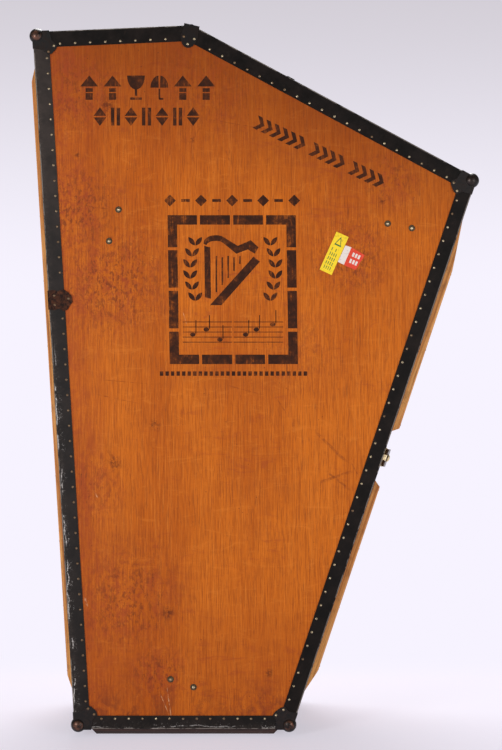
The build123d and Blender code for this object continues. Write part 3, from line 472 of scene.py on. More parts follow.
def cap_steel(name):
    """Japanned steel: black on the flat, rubbed to brown and bright steel on the balls."""
    m, s, spot = begin(name)
    patch = s.noise(spot, 60.0, 6.0, 0.75, 0.5)
    fine = s.noise(spot, 420.0, 4.0, 0.7)
    proud = s.ramp(s.math("ABSOLUTE", s.split(spot)[1]), BALL_START, BALL_START + 0.004)
    colour = s.mix(s.ramp(patch, 0.42, 0.60), rgb(12, 9, 8), rgb(32, 23, 19))
    proud = s.times(proud, s.ramp(s.split(spot)[0], 0.45, 0.75, 1.0, 0.08))
    colour = s.mix(s.times(proud, s.ramp(patch, 0.38, 0.58)), colour, rgb(96, 62, 46))
    colour = s.mix(s.times(proud, s.ramp(patch, 0.60, 0.70)), colour, rgb(160, 128, 104))
    colour = s.wash(colour, rgb(50, 28, 18), s.ramp(fine, 0.56, 0.66), 0.30)
    rough = s.ramp(patch, 0.4, 0.68, 0.42, 0.28)
    s.surface(colour, rough, s.bump(s.add(patch, s.times(fine, 0.5)), 0.35, 0.0005), 0.5)
    return m


def rust(name):
    m, s, spot = begin(name)
    patch = s.noise(spot, 75.0, 7.0, 0.78, 0.6)
    pits = s.cells(spot, 260.0)
    colour = s.mix(s.ramp(patch, 0.40, 0.60), rgb(26, 15, 11), rgb(72, 40, 24))
    colour = s.wash(colour, rgb(124, 74, 44), s.ramp(patch, 0.60, 0.70), 0.7)
    colour = s.wash(colour, rgb(22, 12, 8), s.ramp(pits, 0.30, 0.12), 0.5)
    normal = s.bump(s.add(patch, s.times(pits, 0.4)), 0.9, 0.0012)
    s.surface(colour, 0.78, normal, 0.2, Specular_IOR_Level=0.2)
    return m


def cloth(name, base, light, weave=900.0):
    """Wool felt or baize: a matted, slightly napped surface."""
    m, s, spot = begin(name)
    mat = s.noise(spot, weave, 4.0, 0.75, 1.2)
    cloud = s.noise(spot, 9.0, 5.0, 0.6)
    colour = s.mix(s.ramp(mat, 0.38, 0.64), base, light)
    colour = s.wash(colour, dimmed(base, 0.55), s.ramp(cloud, 0.45, 0.7), 0.45)
    s.surface(colour, 0.92, s.bump(mat, 0.7, 0.0008), Sheen_Weight=0.5, Sheen_Roughness=0.5)
    return m


def nail_brass(name):
    """Plated nails, tarnished brown in places and mostly dull along the lower left."""
    m, s, spot = begin(name)
    x, _, z = s.split(spot)
    patch = s.noise(spot, 34.0, 3.0, 0.6)
    grain = s.noise(spot, 900.0, 3.0, 0.6)
    dull = s.times(s.ramp(x, -0.16, -0.24), s.ramp(z, 1.75, 1.25, 0.35, 0.92))
    tarnish = s.math("MAXIMUM", s.ramp(patch, 0.50, 0.62), dull)
    colour = s.mix(tarnish, rgb(184, 168, 136), rgb(118, 94, 70))
    colour = s.wash(colour, rgb(60, 44, 32), s.ramp(grain, 0.52, 0.38), 0.4)
    s.surface(colour, s.ramp(tarnish, 0.0, 1.0, 0.28, 0.5), s.bump(grain, 0.2, 0.0002), 0.85)
    return m


def hasp_metal(name):
    """Dark hasp with a keyhole boss of pale, polished brass."""
    m, s, spot = begin(name)
    patch = s.noise(spot, 70.0, 6.0, 0.72, 0.4)
    away = s.node("ShaderNodeVectorMath", {0: spot, 1: tuple(BOSS_TOP)}, operation="DISTANCE")
    boss = s.ramp(away.outputs["Value"], BOSS_REACH + 0.0002, BOSS_REACH - 0.0002)
    dark = s.mix(s.ramp(patch, 0.45, 0.65), rgb(46, 34, 26), rgb(92, 70, 48))
    pale = s.mix(s.ramp(patch, 0.50, 0.68), rgb(228, 208, 158), rgb(176, 146, 92))
    rough = s.ramp(patch, 0.35, 0.7, 0.22, 0.45)
    s.surface(s.mix(boss, dark, pale), rough, s.bump(patch, 0.3, 0.0004), 0.8)
    return m


def paper(name, base, dirt):
    m, s, spot = begin(name)
    fleck = s.noise(spot, 160.0, 5.0, 0.7)
    crease = s.noise(s.stretch(spot, (1, 1, 0.4)), 42.0, 4.0, 0.7, 0.8)
    colour = s.mix(s.times(s.ramp(fleck, 0.52, 0.66), 0.5), base, dirt)
    colour = s.wash(colour, dirt, s.ramp(crease, 0.60, 0.66), 0.5)
    s.surface(colour, 0.5, s.bump(crease, 0.5, 0.0005))
    return m


MAT = {
    "front": oak("oak_front", ALONG_Z, front=True),
    "oak_up": oak("oak_upright", ALONG_Z),
    "oak_deep": oak("oak_crosswise", ALONG_Y),
    "stencil": stencil_paint("stencil_paint"),
    "slat": slat_wood("slat_wood"),
    # the runners' dark, dirty wood is darkened further with painted shade from under the trunk
    "runner": plain_wood("runner_wood_painted_shade", rgb(34, 18, 14), rgb(72, 40, 30), (0.022, 1, 1), 0.6),
    "block": plain_wood("block_wood", rgb(176, 128, 82), rgb(214, 174, 126), ALONG_Y, 0.62),
    "lip": plain_wood("lip_wood", rgb(150, 104, 62), rgb(204, 158, 104), ALONG_Y, 0.5),
    "fibre": fibre("fibre_plain"),
    "nail": nail_brass("nail_brass"),
    "cap": cap_steel("cap_steel"),
    "rust": rust("rusty_steel"),
    "black": metal("black_steel", rgb(26, 24, 24), rgb(84, 66, 54), 0.25, (0.35, 0.55), 60.0, 0.7),
    "washer": metal("washer_steel", rgb(92, 80, 58), rgb(48, 38, 28), 0.5, (0.4, 0.6), 200.0, 0.8),
    "hinge": metal("hinge_steel", rgb(158, 152, 144), rgb(98, 78, 62), 0.45, (0.3, 0.5)),
    "plate": metal("lock_plate", rgb(232, 214, 170), rgb(150, 118, 76), 0.35, (0.3, 0.5)),
    "hasp": hasp_metal("hasp_metal"),
    "brass": metal("lock_brass", rgb(216, 182, 110), rgb(140, 100, 56), 0.35, (0.2, 0.4)),
    "bolt": metal("bolt_steel", rgb(196, 182, 150), rgb(128, 108, 84), 0.4, (0.28, 0.5), 160.0),
    "felt": cloth("wool_felt", rgb(34, 56, 44), rgb(60, 86, 68)),
    "baize": cloth("baize", rgb(112, 26, 26), rgb(152, 46, 40)),
    "piping": cloth("piping_cloth", rgb(84, 18, 20), rgb(120, 34, 32), 1400.0),
    "yellow": paper("yellow_paper", rgb(232, 200, 6), rgb(180, 150, 20)),
    "white": paper("white_paper", rgb(216, 206, 196), rgb(168, 142, 124)),
    "red": paper("red_paper", rgb(206, 48, 8), rgb(232, 96, 40)),
    "print": paper("printed_green", rgb(46, 96, 40), rgb(96, 110, 20)),
}
# the face's bindings in the order of their corners, and how worn each is
BINDING_WEAR = {"base": 0.55, "right": 0.0, "slope": 0.0, "top": 0.0, "left": 1.0}


def dress(node, mat):
    data = NODES[node].data
    data.materials.clear()
    data.materials.append(mat)


def dress_all():
    for index, (side, wear) in enumerate(BINDING_WEAR.items()):
        dress(f"lid_binding_{side}", fibre(f"fibre_{side}", index, wear))
        grain = MAT["oak_up"] if side in ("left", "right") else MAT["oak_deep"]
        for body in ("lid", "case"):
            dress(f"{body}_wall_{side}", grain)
    plain = {
        "front": ("lid_panel",),
        "oak_up": ("case_panel",),
        "fibre": ("lid_rim_bindings", "case_bindings", "case_rim_bindings"),
        "nail": ("lid_nails", "case_nails", "lid_rivets", "case_rivets"),
        "cap": (
            "lid_cap_base_left",
            "lid_cap_base_right",
            "lid_cap_right_top",
            "lid_cap_left_top",
            "lid_peak_clamp",
            "case_caps",
        ),
        "slat": ("lid_slat_left", "lid_slat_right_upper", "lid_slat_right_lower", "case_slats"),
        "rust": ("repair_strap",),
        "runner": ("lid_runner", "case_runners"),
        "felt": ("lid_lining", "case_lining"),
        "block": ("lid_blocks", "case_blocks"),
        "lip": ("case_lip",),
        "bolt": ("block_bolts",),
        "washer": ("block_washers",),
        "black": (
            "draw_strike",
            "draw_base",
            "draw_lever",
            "draw_hook",
            "handle_plates",
            "handle_bail_left",
            "handle_bail_right",
        ),
        "hinge": ("lid_hinge_leaves", "case_hinge_leaves", "hinge_pins"),
        "plate": ("hasp_plate", "lock_body"),
        "hasp": ("hasp",),
        "brass": ("lock_button",),
    }
    for key, names in plain.items():
        for name in names:
            dress(name, MAT[key])


def finish_mesh(name, bm, mat, body, smooth=False):
    """Makes the object of a visible piece, which rides on a body."""
    mesh = bpy.data.meshes.new(name)
    bmesh.ops.recalc_face_normals(bm, faces=bm.faces)
    bm.to_mesh(mesh)
    bm.free()
    if smooth:
        for polygon in mesh.polygons:
            polygon.use_smooth = True
    obj = bpy.data.objects.new(name, mesh)
    bpy.context.scene.collection.objects.link(obj)
    mesh.materials.append(mat)
    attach(obj, body)
    return obj


# ---- pads and base mat: sewn baize over wool, in the places of their CAD solids ----
PAD_GRID = 26  # cells along a pad's longer side
PAD_LEAST = 6  # and the fewest across it
PAD_DEEPEST = 0.06  # what is deeper than this from front to back is the mat
SEAM_SHARE = 0.30  # height of the seam, as a share of the pad's
SEAM_R = 0.0021
SEAM_SIDES = 8
PULL_SHARE, PULL_MOST = 0.045, 0.004  # how far a side pulls in, of the short half size, and at most
SOLE_SHARE = 0.975  # size of the resting face, as a share of the seam's
TUFT_R, TUFT_SHARE = 0.011, 0.42  # how wide a button's dip is, and how deep
BUTTON_R, BUTTON_FLAT, BUTTON_SINK = 0.0062, 0.42, 0.0006


def from_the_base(points):
    """Sorts groups of points by height, and side by side where they are level."""
    return round(sum(co.z for co in points) / len(points), 3), sum(co.x for co in points)


def islands(node):
    """The separate meshes of a CAD node, each as its list of points."""
    mesh = NODES[node].data
    bm = bmesh.new()
    bm.from_mesh(mesh)
    bmesh.ops.remove_doubles(bm, verts=bm.verts, dist=1e-6)
    left, found = set(bm.verts), []
    while left:
        group, queue = [], [left.pop()]
        while queue:
            vert = queue.pop()
            group.append(vert.co.copy())
            for edge in vert.link_edges:
                other = edge.other_vert(vert)
                if other in left:
                    left.discard(other)
                    queue.append(other)
        found.append(group)
    bm.free()
    return sorted(found, key=from_the_base)


def oriented(points):
    """The smallest box round points seen from the front: middle, two unit axes, two half sizes."""
    best = None
    flat = [Vector((co.x, co.z)) for co in points]
    for k in range(1800):
        angle = math.radians(k / 10)
        u = Vector((math.cos(angle), math.sin(angle)))
        v = Vector((-math.sin(angle), math.cos(angle)))
        us, vs = [p.dot(u) for p in flat], [p.dot(v) for p in flat]
        area = (max(us) - min(us)) * (max(vs) - min(vs))
        if best is None or area < best[0] - 1e-9:
            best = (area, u, v, min(us), max(us), min(vs), max(vs))
    _, u, v, u0, u1, v0, v1 = best
    if u1 - u0 < v1 - v0:
        u, v, u0, u1, v0, v1 = v, -u, v0, v1, -u1, -u0
    return u * (u0 + u1) / 2 + v * (v0 + v1) / 2, u, v, (u1 - u0) / 2, (v1 - v0) / 2


def swell(a, b):
    """How full a pad is, from 0 at its rim to 1 in its middle; a and b run from -1 to 1."""
    return ((1 - abs(a) ** 3.2) * (1 - abs(b) ** 3.2)) ** 0.55


def cushion(name, place, base, crown, tufts, body, node):
    """A crowned pad: flat where it rests, pulled in at its sides, buttoned and piped.

    place gives its middle, its long and short directions and its half sizes. base is a point on
    its resting face and crown one on its highest face, and it swells from the one to the other.
    """
    middle, along, across, half_long, half_short = place
    high = (crown - base).length
    rise = (crown - base).normalized()
    count_long = PAD_GRID
    count_short = max(PAD_LEAST, int(PAD_GRID * half_short / half_long) // 2 * 2)
    pull = min(half_short * PULL_SHARE, PULL_MOST)

    def spot(a, b, share):
        shape_a = a * (half_long - pull * (1 - b * b))
        shape_b = b * (half_short - pull * (1 - a * a))
        return base + middle + along * shape_a + across * shape_b + rise * (high * share)

    def top(a, b):
        dip = 0.0
        for ta, tb in tufts:
            gap = math.hypot((a - ta) * half_long, (b - tb) * half_short)
            dip = max(dip, TUFT_SHARE * math.exp(-((gap / TUFT_R) ** 2)))
        return SEAM_SHARE + (1 - SEAM_SHARE) * swell(a, b) * (1 - dip)

    def step(k, count):
        return math.sin((2 * k / count - 1) * math.pi / 2)

    upper, lower = [], []
    bm = bmesh.new()
    for rows, share_of, size in ((upper, top, 1.0), (lower, lambda a, b: 0.0, SOLE_SHARE)):
        for i in range(count_long + 1):
            a = step(i, count_long)
            steps = [step(j, count_short) for j in range(count_short + 1)]
            rows.append([bm.verts.new(spot(a * size, b * size, share_of(a, b))) for b in steps])
    for i in range(count_long):
        for j in range(count_short):
            bm.faces.new((upper[i][j], upper[i + 1][j], upper[i + 1][j + 1], upper[i][j + 1]))
            bm.faces.new((lower[i][j], lower[i][j + 1], lower[i + 1][j + 1], lower[i + 1][j]))
    rim = [(i, 0) for i in range(count_long)] + [(count_long, j) for j in range(count_short)]
    rim += [(i, count_short) for i in range(count_long, 0, -1)]
    rim += [(0, j) for j in range(count_short, 0, -1)]
    for k, (i, j) in enumerate(rim):
        m, n = rim[(k + 1) % len(rim)]
        bm.faces.new((upper[i][j], lower[i][j], lower[m][n], upper[m][n]))
    seam = [upper[i][j].co.copy() for i, j in rim]
    pad = finish_mesh(name, bm, MAT["baize"], body, smooth=True)
    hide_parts(node)
    pipe(f"{name}_piping", seam, rise, body)
    button(f"{name}_buttons", [spot(a, b, top(a, b)) for a, b in tufts], rise, body)


def pipe(name, seam, rise, body):
    """The covered cord that is sewn round a pad's seam."""
    bm = bmesh.new()
    rings = []
    for k, at in enumerate(seam):
        way = (seam[(k + 1) % len(seam)] - seam[k - 1]).normalized()
        side = way.cross(rise).normalized()
        ring = []
        for turn in (math.tau * s / SEAM_SIDES for s in range(SEAM_SIDES)):
            reach = side * math.cos(turn) + rise * math.sin(turn)
            ring.append(bm.verts.new(at + reach * SEAM_R))
        rings.append(ring)
    for k, ring in enumerate(rings):
        after = rings[(k + 1) % len(rings)]
        for s in range(SEAM_SIDES):
            n = (s + 1) % SEAM_SIDES
            bm.faces.new((ring[s], ring[n], after[n], after[s]))
    finish_mesh(name, bm, MAT["piping"], body, smooth=True)


def button(name, places, rise, body):
    """The flat covered buttons of one pad."""
    bm = bmesh.new()
    facing = rise.to_track_quat("Z", "Y").to_matrix().to_4x4()
    for at in places:
        low = Matrix.Translation(at - rise * BUTTON_SINK)
        dome = low @ facing @ Matrix.Diagonal((1, 1, BUTTON_FLAT, 1))
        bmesh.ops.create_uvsphere(bm, u_segments=20, v_segments=10, radius=BUTTON_R, matrix=dome)
    finish_mesh(name, bm, MAT["piping"], body, smooth=True)


def dress_pads():
    """A cushion in the place of each CAD pad, and of the mat on the floor of the case."""
    for node, body in (("lid_pads", "lid"), ("case_pads", "case")):
        for k, points in enumerate(islands(node)):
            ys = [co.y for co in points]
            if max(ys) - min(ys) > PAD_DEEPEST:
                lows = Vector((min(co.x for co in points), min(ys), min(co.z for co in points)))
                tops = Vector((max(co.x for co in points), max(ys), max(co.z for co in points)))
                half, centre = (tops - lows) / 2, (lows + tops) / 2
                place = (Vector(), Vector((1, 0, 0)), Vector((0, 1, 0)), half.x, half.y)
                base = Vector((centre.x, centre.y, lows.z))
                crown = Vector((centre.x, centre.y, tops.z))
                tufts = [(a, b) for a in (-0.66, -0.22, 0.22, 0.66) for b in (-0.42, 0.42)]
                cushion("case_foot_mat", place, base, crown, tufts, body, node)
                continue
            middle, u, v, half_u, half_v = oriented(points)
            middle, u, v = (Vector((flat.x, 0, flat.y)) for flat in (middle, u, v))
            place = (middle, u, v, half_u, half_v)
            start, end = (min(ys), max(ys)) if body == "lid" else (max(ys), min(ys))
            tufts = [(-0.5, 0.0), (0.0, 0.0), (0.5, 0.0)]
            base, crown = Vector((0, start, 0)), Vector((0, end, 0))
            cushion(f"{body}_pad_{k}", place, base, crown, tufts, body, node)


# ---- marks on the face, all as thin pieces of paint or paper ----
PAINT = 0.00025
SLIP, SLIP_UPPER, PRINT = 0.0003, 0.0002, 0.00015  # paper slip, slip upon it, and its print


def plates(name, outlines, mat, thick=PAINT, lift=0.0):
    """Thin closed plates on the lid's wooden face, one for each outline of (x, z) points."""
    bm = bmesh.new()
    back, front = WOOD_Y - lift, WOOD_Y - lift - thick
    for outline in outlines:
        near = [bm.verts.new((x, front, z)) for x, z in outline]
        far = [bm.verts.new((x, back, z)) for x, z in outline]
        bm.faces.new(near)
        bm.faces.new(far[::-1])
        for i in range(len(outline)):
            j = (i + 1) % len(outline)
            bm.faces.new((near[i], far[i], far[j], near[j]))
    finish_mesh(name, bm, mat, "lid")


def turned(points, centre, angle):
    c, s = math.cos(angle), math.sin(angle)
    return [(centre[0] + x * c - z * s, centre[1] + x * s + z * c) for x, z in points]


def bar(x, z, width, height):
    w, h = width / 2, height / 2
    return [(x - w, z - h), (x + w, z - h), (x + w, z + h), (x - w, z + h)]


def arc(radius_x, radius_z, start, end, steps=14):
    turns = [math.radians(start + (end - start) * k / steps) for k in range(steps + 1)]
    return [(radius_x * math.cos(turn), radius_z * math.sin(turn)) for turn in turns]


# Each sign is a list of outlines, whose sizes are shares of half the sign's width and height.


def arrow(x, z, width, height):
    """An upright arrow, cut across its shaft as a stencil is."""
    w, h = width / 2, height / 2
    neck = h * 0.10
    head = [(x - w, z + neck), (x + w, z + neck), (x, z + h)]
    return [head, bar(x, z - h * 0.20, w * 0.8, h * 0.32), bar(x, z - h * 0.72, w * 0.8, h * 0.56)]


def goblet(x, z, width, height):
    w, h = width / 2, height / 2
    bowl = [(x + px, z + h + pz) for px, pz in arc(w, h * 1.15, 180, 360)]
    return [bowl, bar(x, z - h * 0.42, w * 0.26, h * 0.56), bar(x, z - h * 0.90, w * 1.3, h * 0.20)]


def umbrella(x, z, width, height):
    w, h = width / 2, height / 2
    left = [(x + px, z + pz) for px, pz in arc(w, h, 96, 180)] + [(x - w * 0.08, z)]
    right = [(x + px, z + pz) for px, pz in arc(w, h, 0, 84)] + [(x + w * 0.08, z)]
    stick = bar(x, z - h * 0.5, w * 0.18, h * 0.8)
    return [left, right, stick, bar(x + w * 0.2, z - h * 0.92, w * 0.5, h * 0.16)]


def diamond(x, z, size):
    return [(x - size, z), (x, z - size), (x + size, z), (x, z + size)]


def chevron(x, z, size, angle):
    s = size / 2
    shape = [(-s * 0.75, -s), (-s * 0.05, -s), (s * 0.75, 0)]
    shape += [(-s * 0.05, s), (-s * 0.75, s), (s * 0.05, 0)]
    return turned(shape, (x, z), angle)


def leaf(x, z, length, width, angle):
    shares = [k / 8 for k in range(1, 8)]
    side = [(length * (t - 0.5), width / 2 * math.sin(math.pi * t) ** 0.8) for t in shares]
    outline = [(-length / 2, 0.0)] + [(a, -b) for a, b in side] + [(length / 2, 0.0)] + side[::-1]
    return turned(outline, (x, z), angle)


def handling_marks():
    """Two rows of handling signs at the top left."""
    shapes = []
    row, step, x0 = 1.817, 0.0655, -0.262
    for k, sign in enumerate((arrow, arrow, goblet, umbrella, arrow, arrow)):
        shapes += sign(x0 + step * k, row, 0.050, 0.068)
    row, step, x0 = 1.736, 0.0435, -0.232
    for k in range(7):
        x = x0 + step * k
        if k % 2:
            shapes += [bar(x - 0.008, row, 0.0095, 0.050), bar(x + 0.008, row, 0.0095, 0.050)]
        else:
            shapes += [
                [(x - 0.018, row + 0.002), (x + 0.018, row + 0.002), (x, row + 0.026)],
                [(x - 0.018, row - 0.002), (x, row - 0.026), (x + 0.018, row - 0.002)],
            ]
    return shapes


def slope_marks():
    """Three groups of chevrons that run down beside the slope."""
    start, end = Vector((0.216, 1.716)), Vector((0.550, 1.556))
    angle = math.atan2(end.y - start.y, end.x - start.x)
    groups, gap = (6, 4, 4), 0.8
    step = (end - start) / (sum(groups) - 1 + gap * (len(groups) - 1))
    shapes, k = [], 0.0
    for count in groups:
        for _ in range(count):
            at = start + step * k
            shapes.append(chevron(at.x, at.y, 0.038, angle))
            k += 1.0
        k += gap
    return shapes


FRAME_BAR = 0.0265
FRAME_ROWS = ((1.370, 1.460), (1.257, 1.362), (1.143, 1.248), (1.043, 1.134))
FRAME_COLUMNS = ((-0.043, 0.0395), (0.0476, 0.132), (0.141, 0.224), (0.233, 0.316))
FRAME_SLIP = 0.0065 / 0.417  # how far the stencil leans to the right for each metre downwards


def segmented_frame():
    """The stencilled frame: four bars to a side, bridges between them, joined at its corners."""
    low, high = FRAME_ROWS[-1][0], FRAME_ROWS[0][1]
    left, right = FRAME_COLUMNS[0][0], FRAME_COLUMNS[-1][1]
    shapes = []
    for outer, inner in ((high, high - FRAME_BAR), (low, low + FRAME_BAR)):
        for a, b in FRAME_COLUMNS[1:3]:
            shapes.append([(a, outer), (b, outer), (b, inner), (a, inner)])
    for outer, inner in ((left, left + FRAME_BAR), (right, right - FRAME_BAR)):
        for a, b in FRAME_ROWS[1:3]:
            shapes.append([(outer, a), (outer, b), (inner, b), (inner, a)])
        for rise, fall, stop in (
            (high, high - FRAME_BAR, FRAME_ROWS[0][0]),
            (low, low + FRAME_BAR, FRAME_ROWS[-1][1]),
        ):
            end = FRAME_COLUMNS[0][1] if outer == left else FRAME_COLUMNS[-1][0]
            outside = [(outer, rise), (end, rise), (end, fall)]
            shapes.append(outside + [(inner, fall), (inner, stop), (outer, stop)])
    return [[(x + (high - z) * FRAME_SLIP, z) for x, z in shape] for shape in shapes]


def harp_sign():
    """A plain harp, as a stencil: column, neck, soundbox and strings, all apart."""
    left, foot, top = 0.062, 1.208, 1.404
    column = [(left, foot + 0.022), (left + 0.017, foot + 0.018)]
    column += [(left + 0.015, top - 0.034), (left - 0.002, top - 0.030)]
    neck = [(left - 0.004, top - 0.024)]
    neck += [(left + 0.030 + px, top - 0.022 + pz) for px, pz in arc(0.034, 0.022, 180, 40)]
    neck += [(left + 0.092, top - 0.030), (left + 0.128, top - 0.014), (left + 0.150, top - 0.034)]
    neck += [(left + 0.140, top - 0.052), (left + 0.120, top - 0.040), (left + 0.088, top - 0.052)]
    neck += [(left + 0.030 + px, top - 0.030 + pz) for px, pz in arc(0.026, 0.014, 30, 170)]
    box = [(left + 0.014, foot), (left + 0.046, foot)]
    box += [(left + 0.154, top - 0.074), (left + 0.136, top - 0.060)]
    shapes = [column, neck, box]
    for k in range(6):
        x = left + 0.032 + 0.0165 * k
        low = foot + 0.034 + (x - left - 0.030) * 1.20
        high = top - 0.058 - (0.004 if k % 2 else 0.0)
        if high - low > 0.012:
            shapes.append(bar(x, (low + high) / 2, 0.0042, high - low))
    for side, stem in ((-1, 0.040), (1, 0.240)):
        for k in range(6):
            bow = 0.020 * math.sin(math.pi * (k + 0.5) / 6)
            x, z = stem + side * bow, foot + 0.018 + 0.031 * k
            shapes.append(leaf(x - 0.010, z + 0.006, 0.030, 0.0125, math.radians(128)))
            shapes.append(leaf(x + 0.010, z + 0.006, 0.030, 0.0125, math.radians(52)))
    return shapes


def staff_lines():
    """Five plain lines with a few round notes."""
    low, high, left, right = 1.1045, 1.1610, 0.000, 0.281
    gap = (high - low) / 4
    shapes = []
    for k in range(5):
        for a, b in ((left, 0.138), (0.143, right)):
            shapes.append(bar((a + b) / 2, low + gap * k, b - a, 0.0020))
    notes = ((0.028, 1.5), (0.066, 2.5), (0.104, 0.5), (0.176, 1.5), (0.206, 2.5), (0.252, 3.5))
    for x, level in notes:
        z = low + gap * level
        shapes.append([(x + px, z + pz) for px, pz in arc(0.0078, 0.0056, 0, 342, 19)])
        shapes.append(bar(x + 0.0086, z + 0.0215, 0.0026, 0.038))
    return shapes


def border_rows():
    """A row of diamonds and dashes above the frame, and a fine dashed rule below it."""
    shapes = []
    left, right, z = -0.036, 0.312, 1.501
    count = 9
    for k in range(count):
        x = left + (right - left) * k / (count - 1)
        if k % 2:
            shapes.append(bar(x, z, 0.024, 0.008))
        else:
            shapes.append(diamond(x, z, 0.0165))
    left, right, z = -0.067, 0.351, 1.0165
    count = 27
    step = (right - left) / count
    for k in range(count):
        shapes.append(bar(left + step * (k + 0.5), z, step * 0.62, 0.0125))
    return shapes


def on_label(outline, corners, shapes):
    """Puts shapes drawn on a label, as shares of its width and height, on the face.

    corners says which of the outline's points are the drawing's origin, its x end and its z end.
    """
    (x0, z0), (x1, z1), (x2, z2) = (outline[k] for k in corners)
    return [
        [(x0 + (x1 - x0) * x + (x2 - x0) * z, z0 + (z1 - z0) * x + (z2 - z0) * z) for x, z in shape]
        for shape in shapes
    ]


def patch(x, z, width, height):
    return [(x, z), (x + width, z), (x + width, z + height), (x, z + height)]


def stickers():
    """A yellow slip with a plain sign, and a white and a torn red one beside it."""
    yellow = [(0.4304, 1.4139), (0.3830, 1.3081), (0.4166, 1.2924), (0.4645, 1.3988)]
    white = [(0.4553, 1.3753), (0.4340, 1.3296), (0.4511, 1.3210), (0.4724, 1.3697)]
    red = [(0.4724, 1.3697), (0.4511, 1.3210), (0.4600, 1.3160), (0.4700, 1.3122)]
    red += [(0.4838, 1.3064), (0.4905, 1.3160), (0.4950, 1.3262), (0.5040, 1.3370)]
    red += [(0.5088, 1.3484), (0.4960, 1.3560)]
    plates("sticker_yellow", [yellow], MAT["yellow"], SLIP)
    plates("sticker_white", [white], MAT["white"], SLIP_UPPER, SLIP)
    plates("sticker_red", [red], MAT["red"], SLIP_UPPER, SLIP)
    sign = [
        [(0.22, 0.70), (0.78, 0.70), (0.69, 0.735), (0.31, 0.735)],
        [(0.22, 0.70), (0.31, 0.735), (0.50, 0.885), (0.50, 0.94)],
        [(0.78, 0.70), (0.50, 0.94), (0.50, 0.885), (0.69, 0.735)],
    ]
    for row, x in enumerate((0.20, 0.36, 0.52, 0.68)):
        sign += [patch(x, 0.08 + 0.115 * k, 0.055, 0.08) for k in range(5 - row % 2)]
    sign = on_label(yellow, (1, 2, 0), sign)
    plates("sticker_print", sign, MAT["print"], PRINT, SLIP)
    strips = [patch(x, z, 0.16, 0.22) for x in (0.28, 0.52, 0.76) for z in (0.22, 0.58)]
    strips = on_label(red, (1, 4, 0), strips)
    plates("sticker_strips", strips, MAT["white"], PRINT, SLIP + SLIP_UPPER)


# ---- floor, light and camera ----
WORLD = rgb(247, 243, 255)
WORLD_HIGH = rgb(208, 203, 211)
AMBIENT = rgb(232, 226, 224)
AMBIENT_STRENGTH = 0.30
FLOOR_RADIUS = 40.0
FLOOR_NEAR, FLOOR_FAR = 0.9, 3.4  # over this distance the floor turns into the backdrop
FLOOR_GLOW = 0.54  # how much of it is backdrop at the trunk's foot


def studio_floor():
    """A pale paper floor that turns into the backdrop away from the trunk and behind it."""
    bm = bmesh.new()
    bmesh.ops.create_circle(bm, cap_ends=True, segments=96, radius=FLOOR_RADIUS)
    mesh = bpy.data.meshes.new("floor")
    bm.to_mesh(mesh)
    bm.free()
    floor = bpy.data.objects.new("floor", mesh)
    bpy.context.scene.collection.objects.link(floor)
    m, s, spot = begin("floor_paper")
    x, y, _ = s.split(spot)
    far = s.math("SQRT", s.add(s.times(x, x), s.times(y, y)))
    cloud = s.times(s.ramp(s.noise(spot, 3.0), 0.4, 0.7), 0.2)
    colour = s.mix(cloud, rgb(243, 238, 251), rgb(235, 229, 243))
    # painted shade: the paper is darker behind the trunk, evening out the top light's brighter pool
    # there
    colour = s.mix(s.ramp(y, -0.9, 0.3), colour, rgb(230, 226, 238))
    near = s.node("ShaderNodeBsdfDiffuse", {"Color": colour})
    glow = s.node("ShaderNodeEmission", {"Color": WORLD, "Strength": 1.0})
    away = s.ramp(far, FLOOR_NEAR, FLOOR_FAR, FLOOR_GLOW, 1.0)
    away = s.math("MAXIMUM", away, s.ramp(y, 0.1, 1.1))
    s.blend("ShaderNodeOutputMaterial", away, near, glow)
    mesh.materials.append(m)


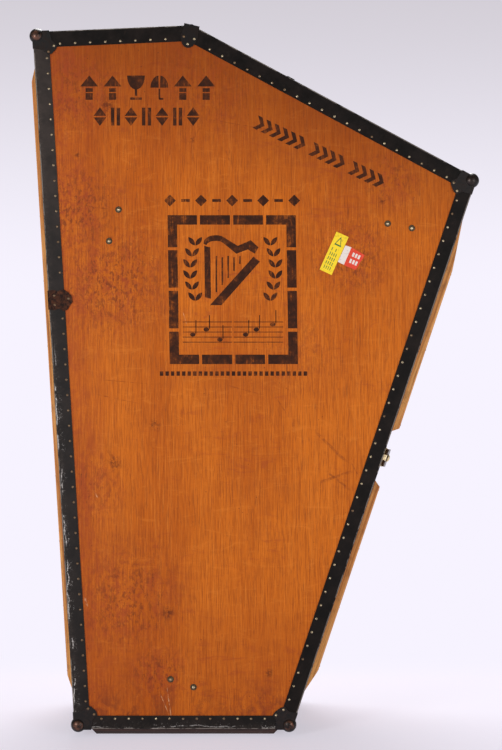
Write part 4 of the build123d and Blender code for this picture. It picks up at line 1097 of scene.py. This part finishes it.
def studio_world():
    """A pale backdrop, greyer overhead, which lights the trunk less than it shows."""
    world = bpy.data.worlds.new("studio_world")
    bpy.context.scene.world = world
    world.use_nodes = True
    world.node_tree.nodes.clear()
    s = Shade(world.node_tree)
    up = s.split(s.node("ShaderNodeTexCoord").outputs["Generated"])[2]
    backdrop = s.mix(s.ramp(up, 0.04, 0.24), WORLD, WORLD_HIGH)
    seen = s.node("ShaderNodeBackground", {"Color": backdrop, "Strength": 1.0})
    light = s.node("ShaderNodeBackground", {"Color": AMBIENT, "Strength": AMBIENT_STRENGTH})
    camera_ray = s.node("ShaderNodeLightPath").outputs["Is Camera Ray"]
    s.blend("ShaderNodeOutputWorld", camera_ray, light, seen)


LAMPS = (  # name, place, what it points at, size, watts
    ("key_light", (-3.0, -4.6, 1.5), (0.2, -0.2, 1.0), 1.6, 136),
    ("fill_light", (3.2, -4.4, 1.3), (0.2, -0.2, 1.0), 1.8, 84),
    ("back_light", (0.6, 3.8, 3.2), (0.2, 0.2, 1.1), 2.5, 75),
    ("top_light", (0.2, 2.0, 4.6), (0.2, -0.4, 0.0), 2.6, 190),
)


def studio_lights():
    for name, place, aim, size, power in LAMPS:
        data = bpy.data.lights.new(name, "AREA")
        data.shape = "DISK"
        data.size = size
        data.energy = power
        obj = bpy.data.objects.new(name, data)
        obj.location = place
        obj.rotation_euler = (Vector(aim) - Vector(place)).to_track_quat("-Z", "Y").to_euler()
        bpy.context.scene.collection.objects.link(obj)


FACE_SCALE = 0.0028  # metres of the face across one step of the frame's 502 by 750
LONG_SIDE = 750
DISTANCE = 5.0  # from the camera to the face
EYE = (0.191, 1.0125)  # the camera's x and height
SENSOR = 36.0  # millimetres


def camera():
    data = bpy.data.cameras.new("camera")
    data.sensor_width = SENSOR
    data.lens = SENSOR * DISTANCE / (LONG_SIDE * FACE_SCALE)
    data.clip_end = 100.0
    obj = bpy.data.objects.new("camera", data)
    obj.location = (EYE[0], WOOD_Y - DISTANCE, EYE[1])
    obj.rotation_euler = (math.pi / 2, 0.0, 0.0)
    bpy.context.scene.collection.objects.link(obj)
    bpy.context.scene.camera = obj


bpy.context.scene.view_settings.view_transform = "Standard"
dress_all()
dress_pads()
for stencil, shapes in (
    ("handling_signs", handling_marks()),
    ("slope_signs", slope_marks()),
    ("stencil_frame", segmented_frame()),
    ("stencil_harp", harp_sign()),
    ("stencil_staff", staff_lines()),
    ("stencil_borders", border_rows()),
):
    plates(stencil, shapes, MAT["stencil"])
stickers()
studio_floor()
studio_world()
studio_lights()
camera()
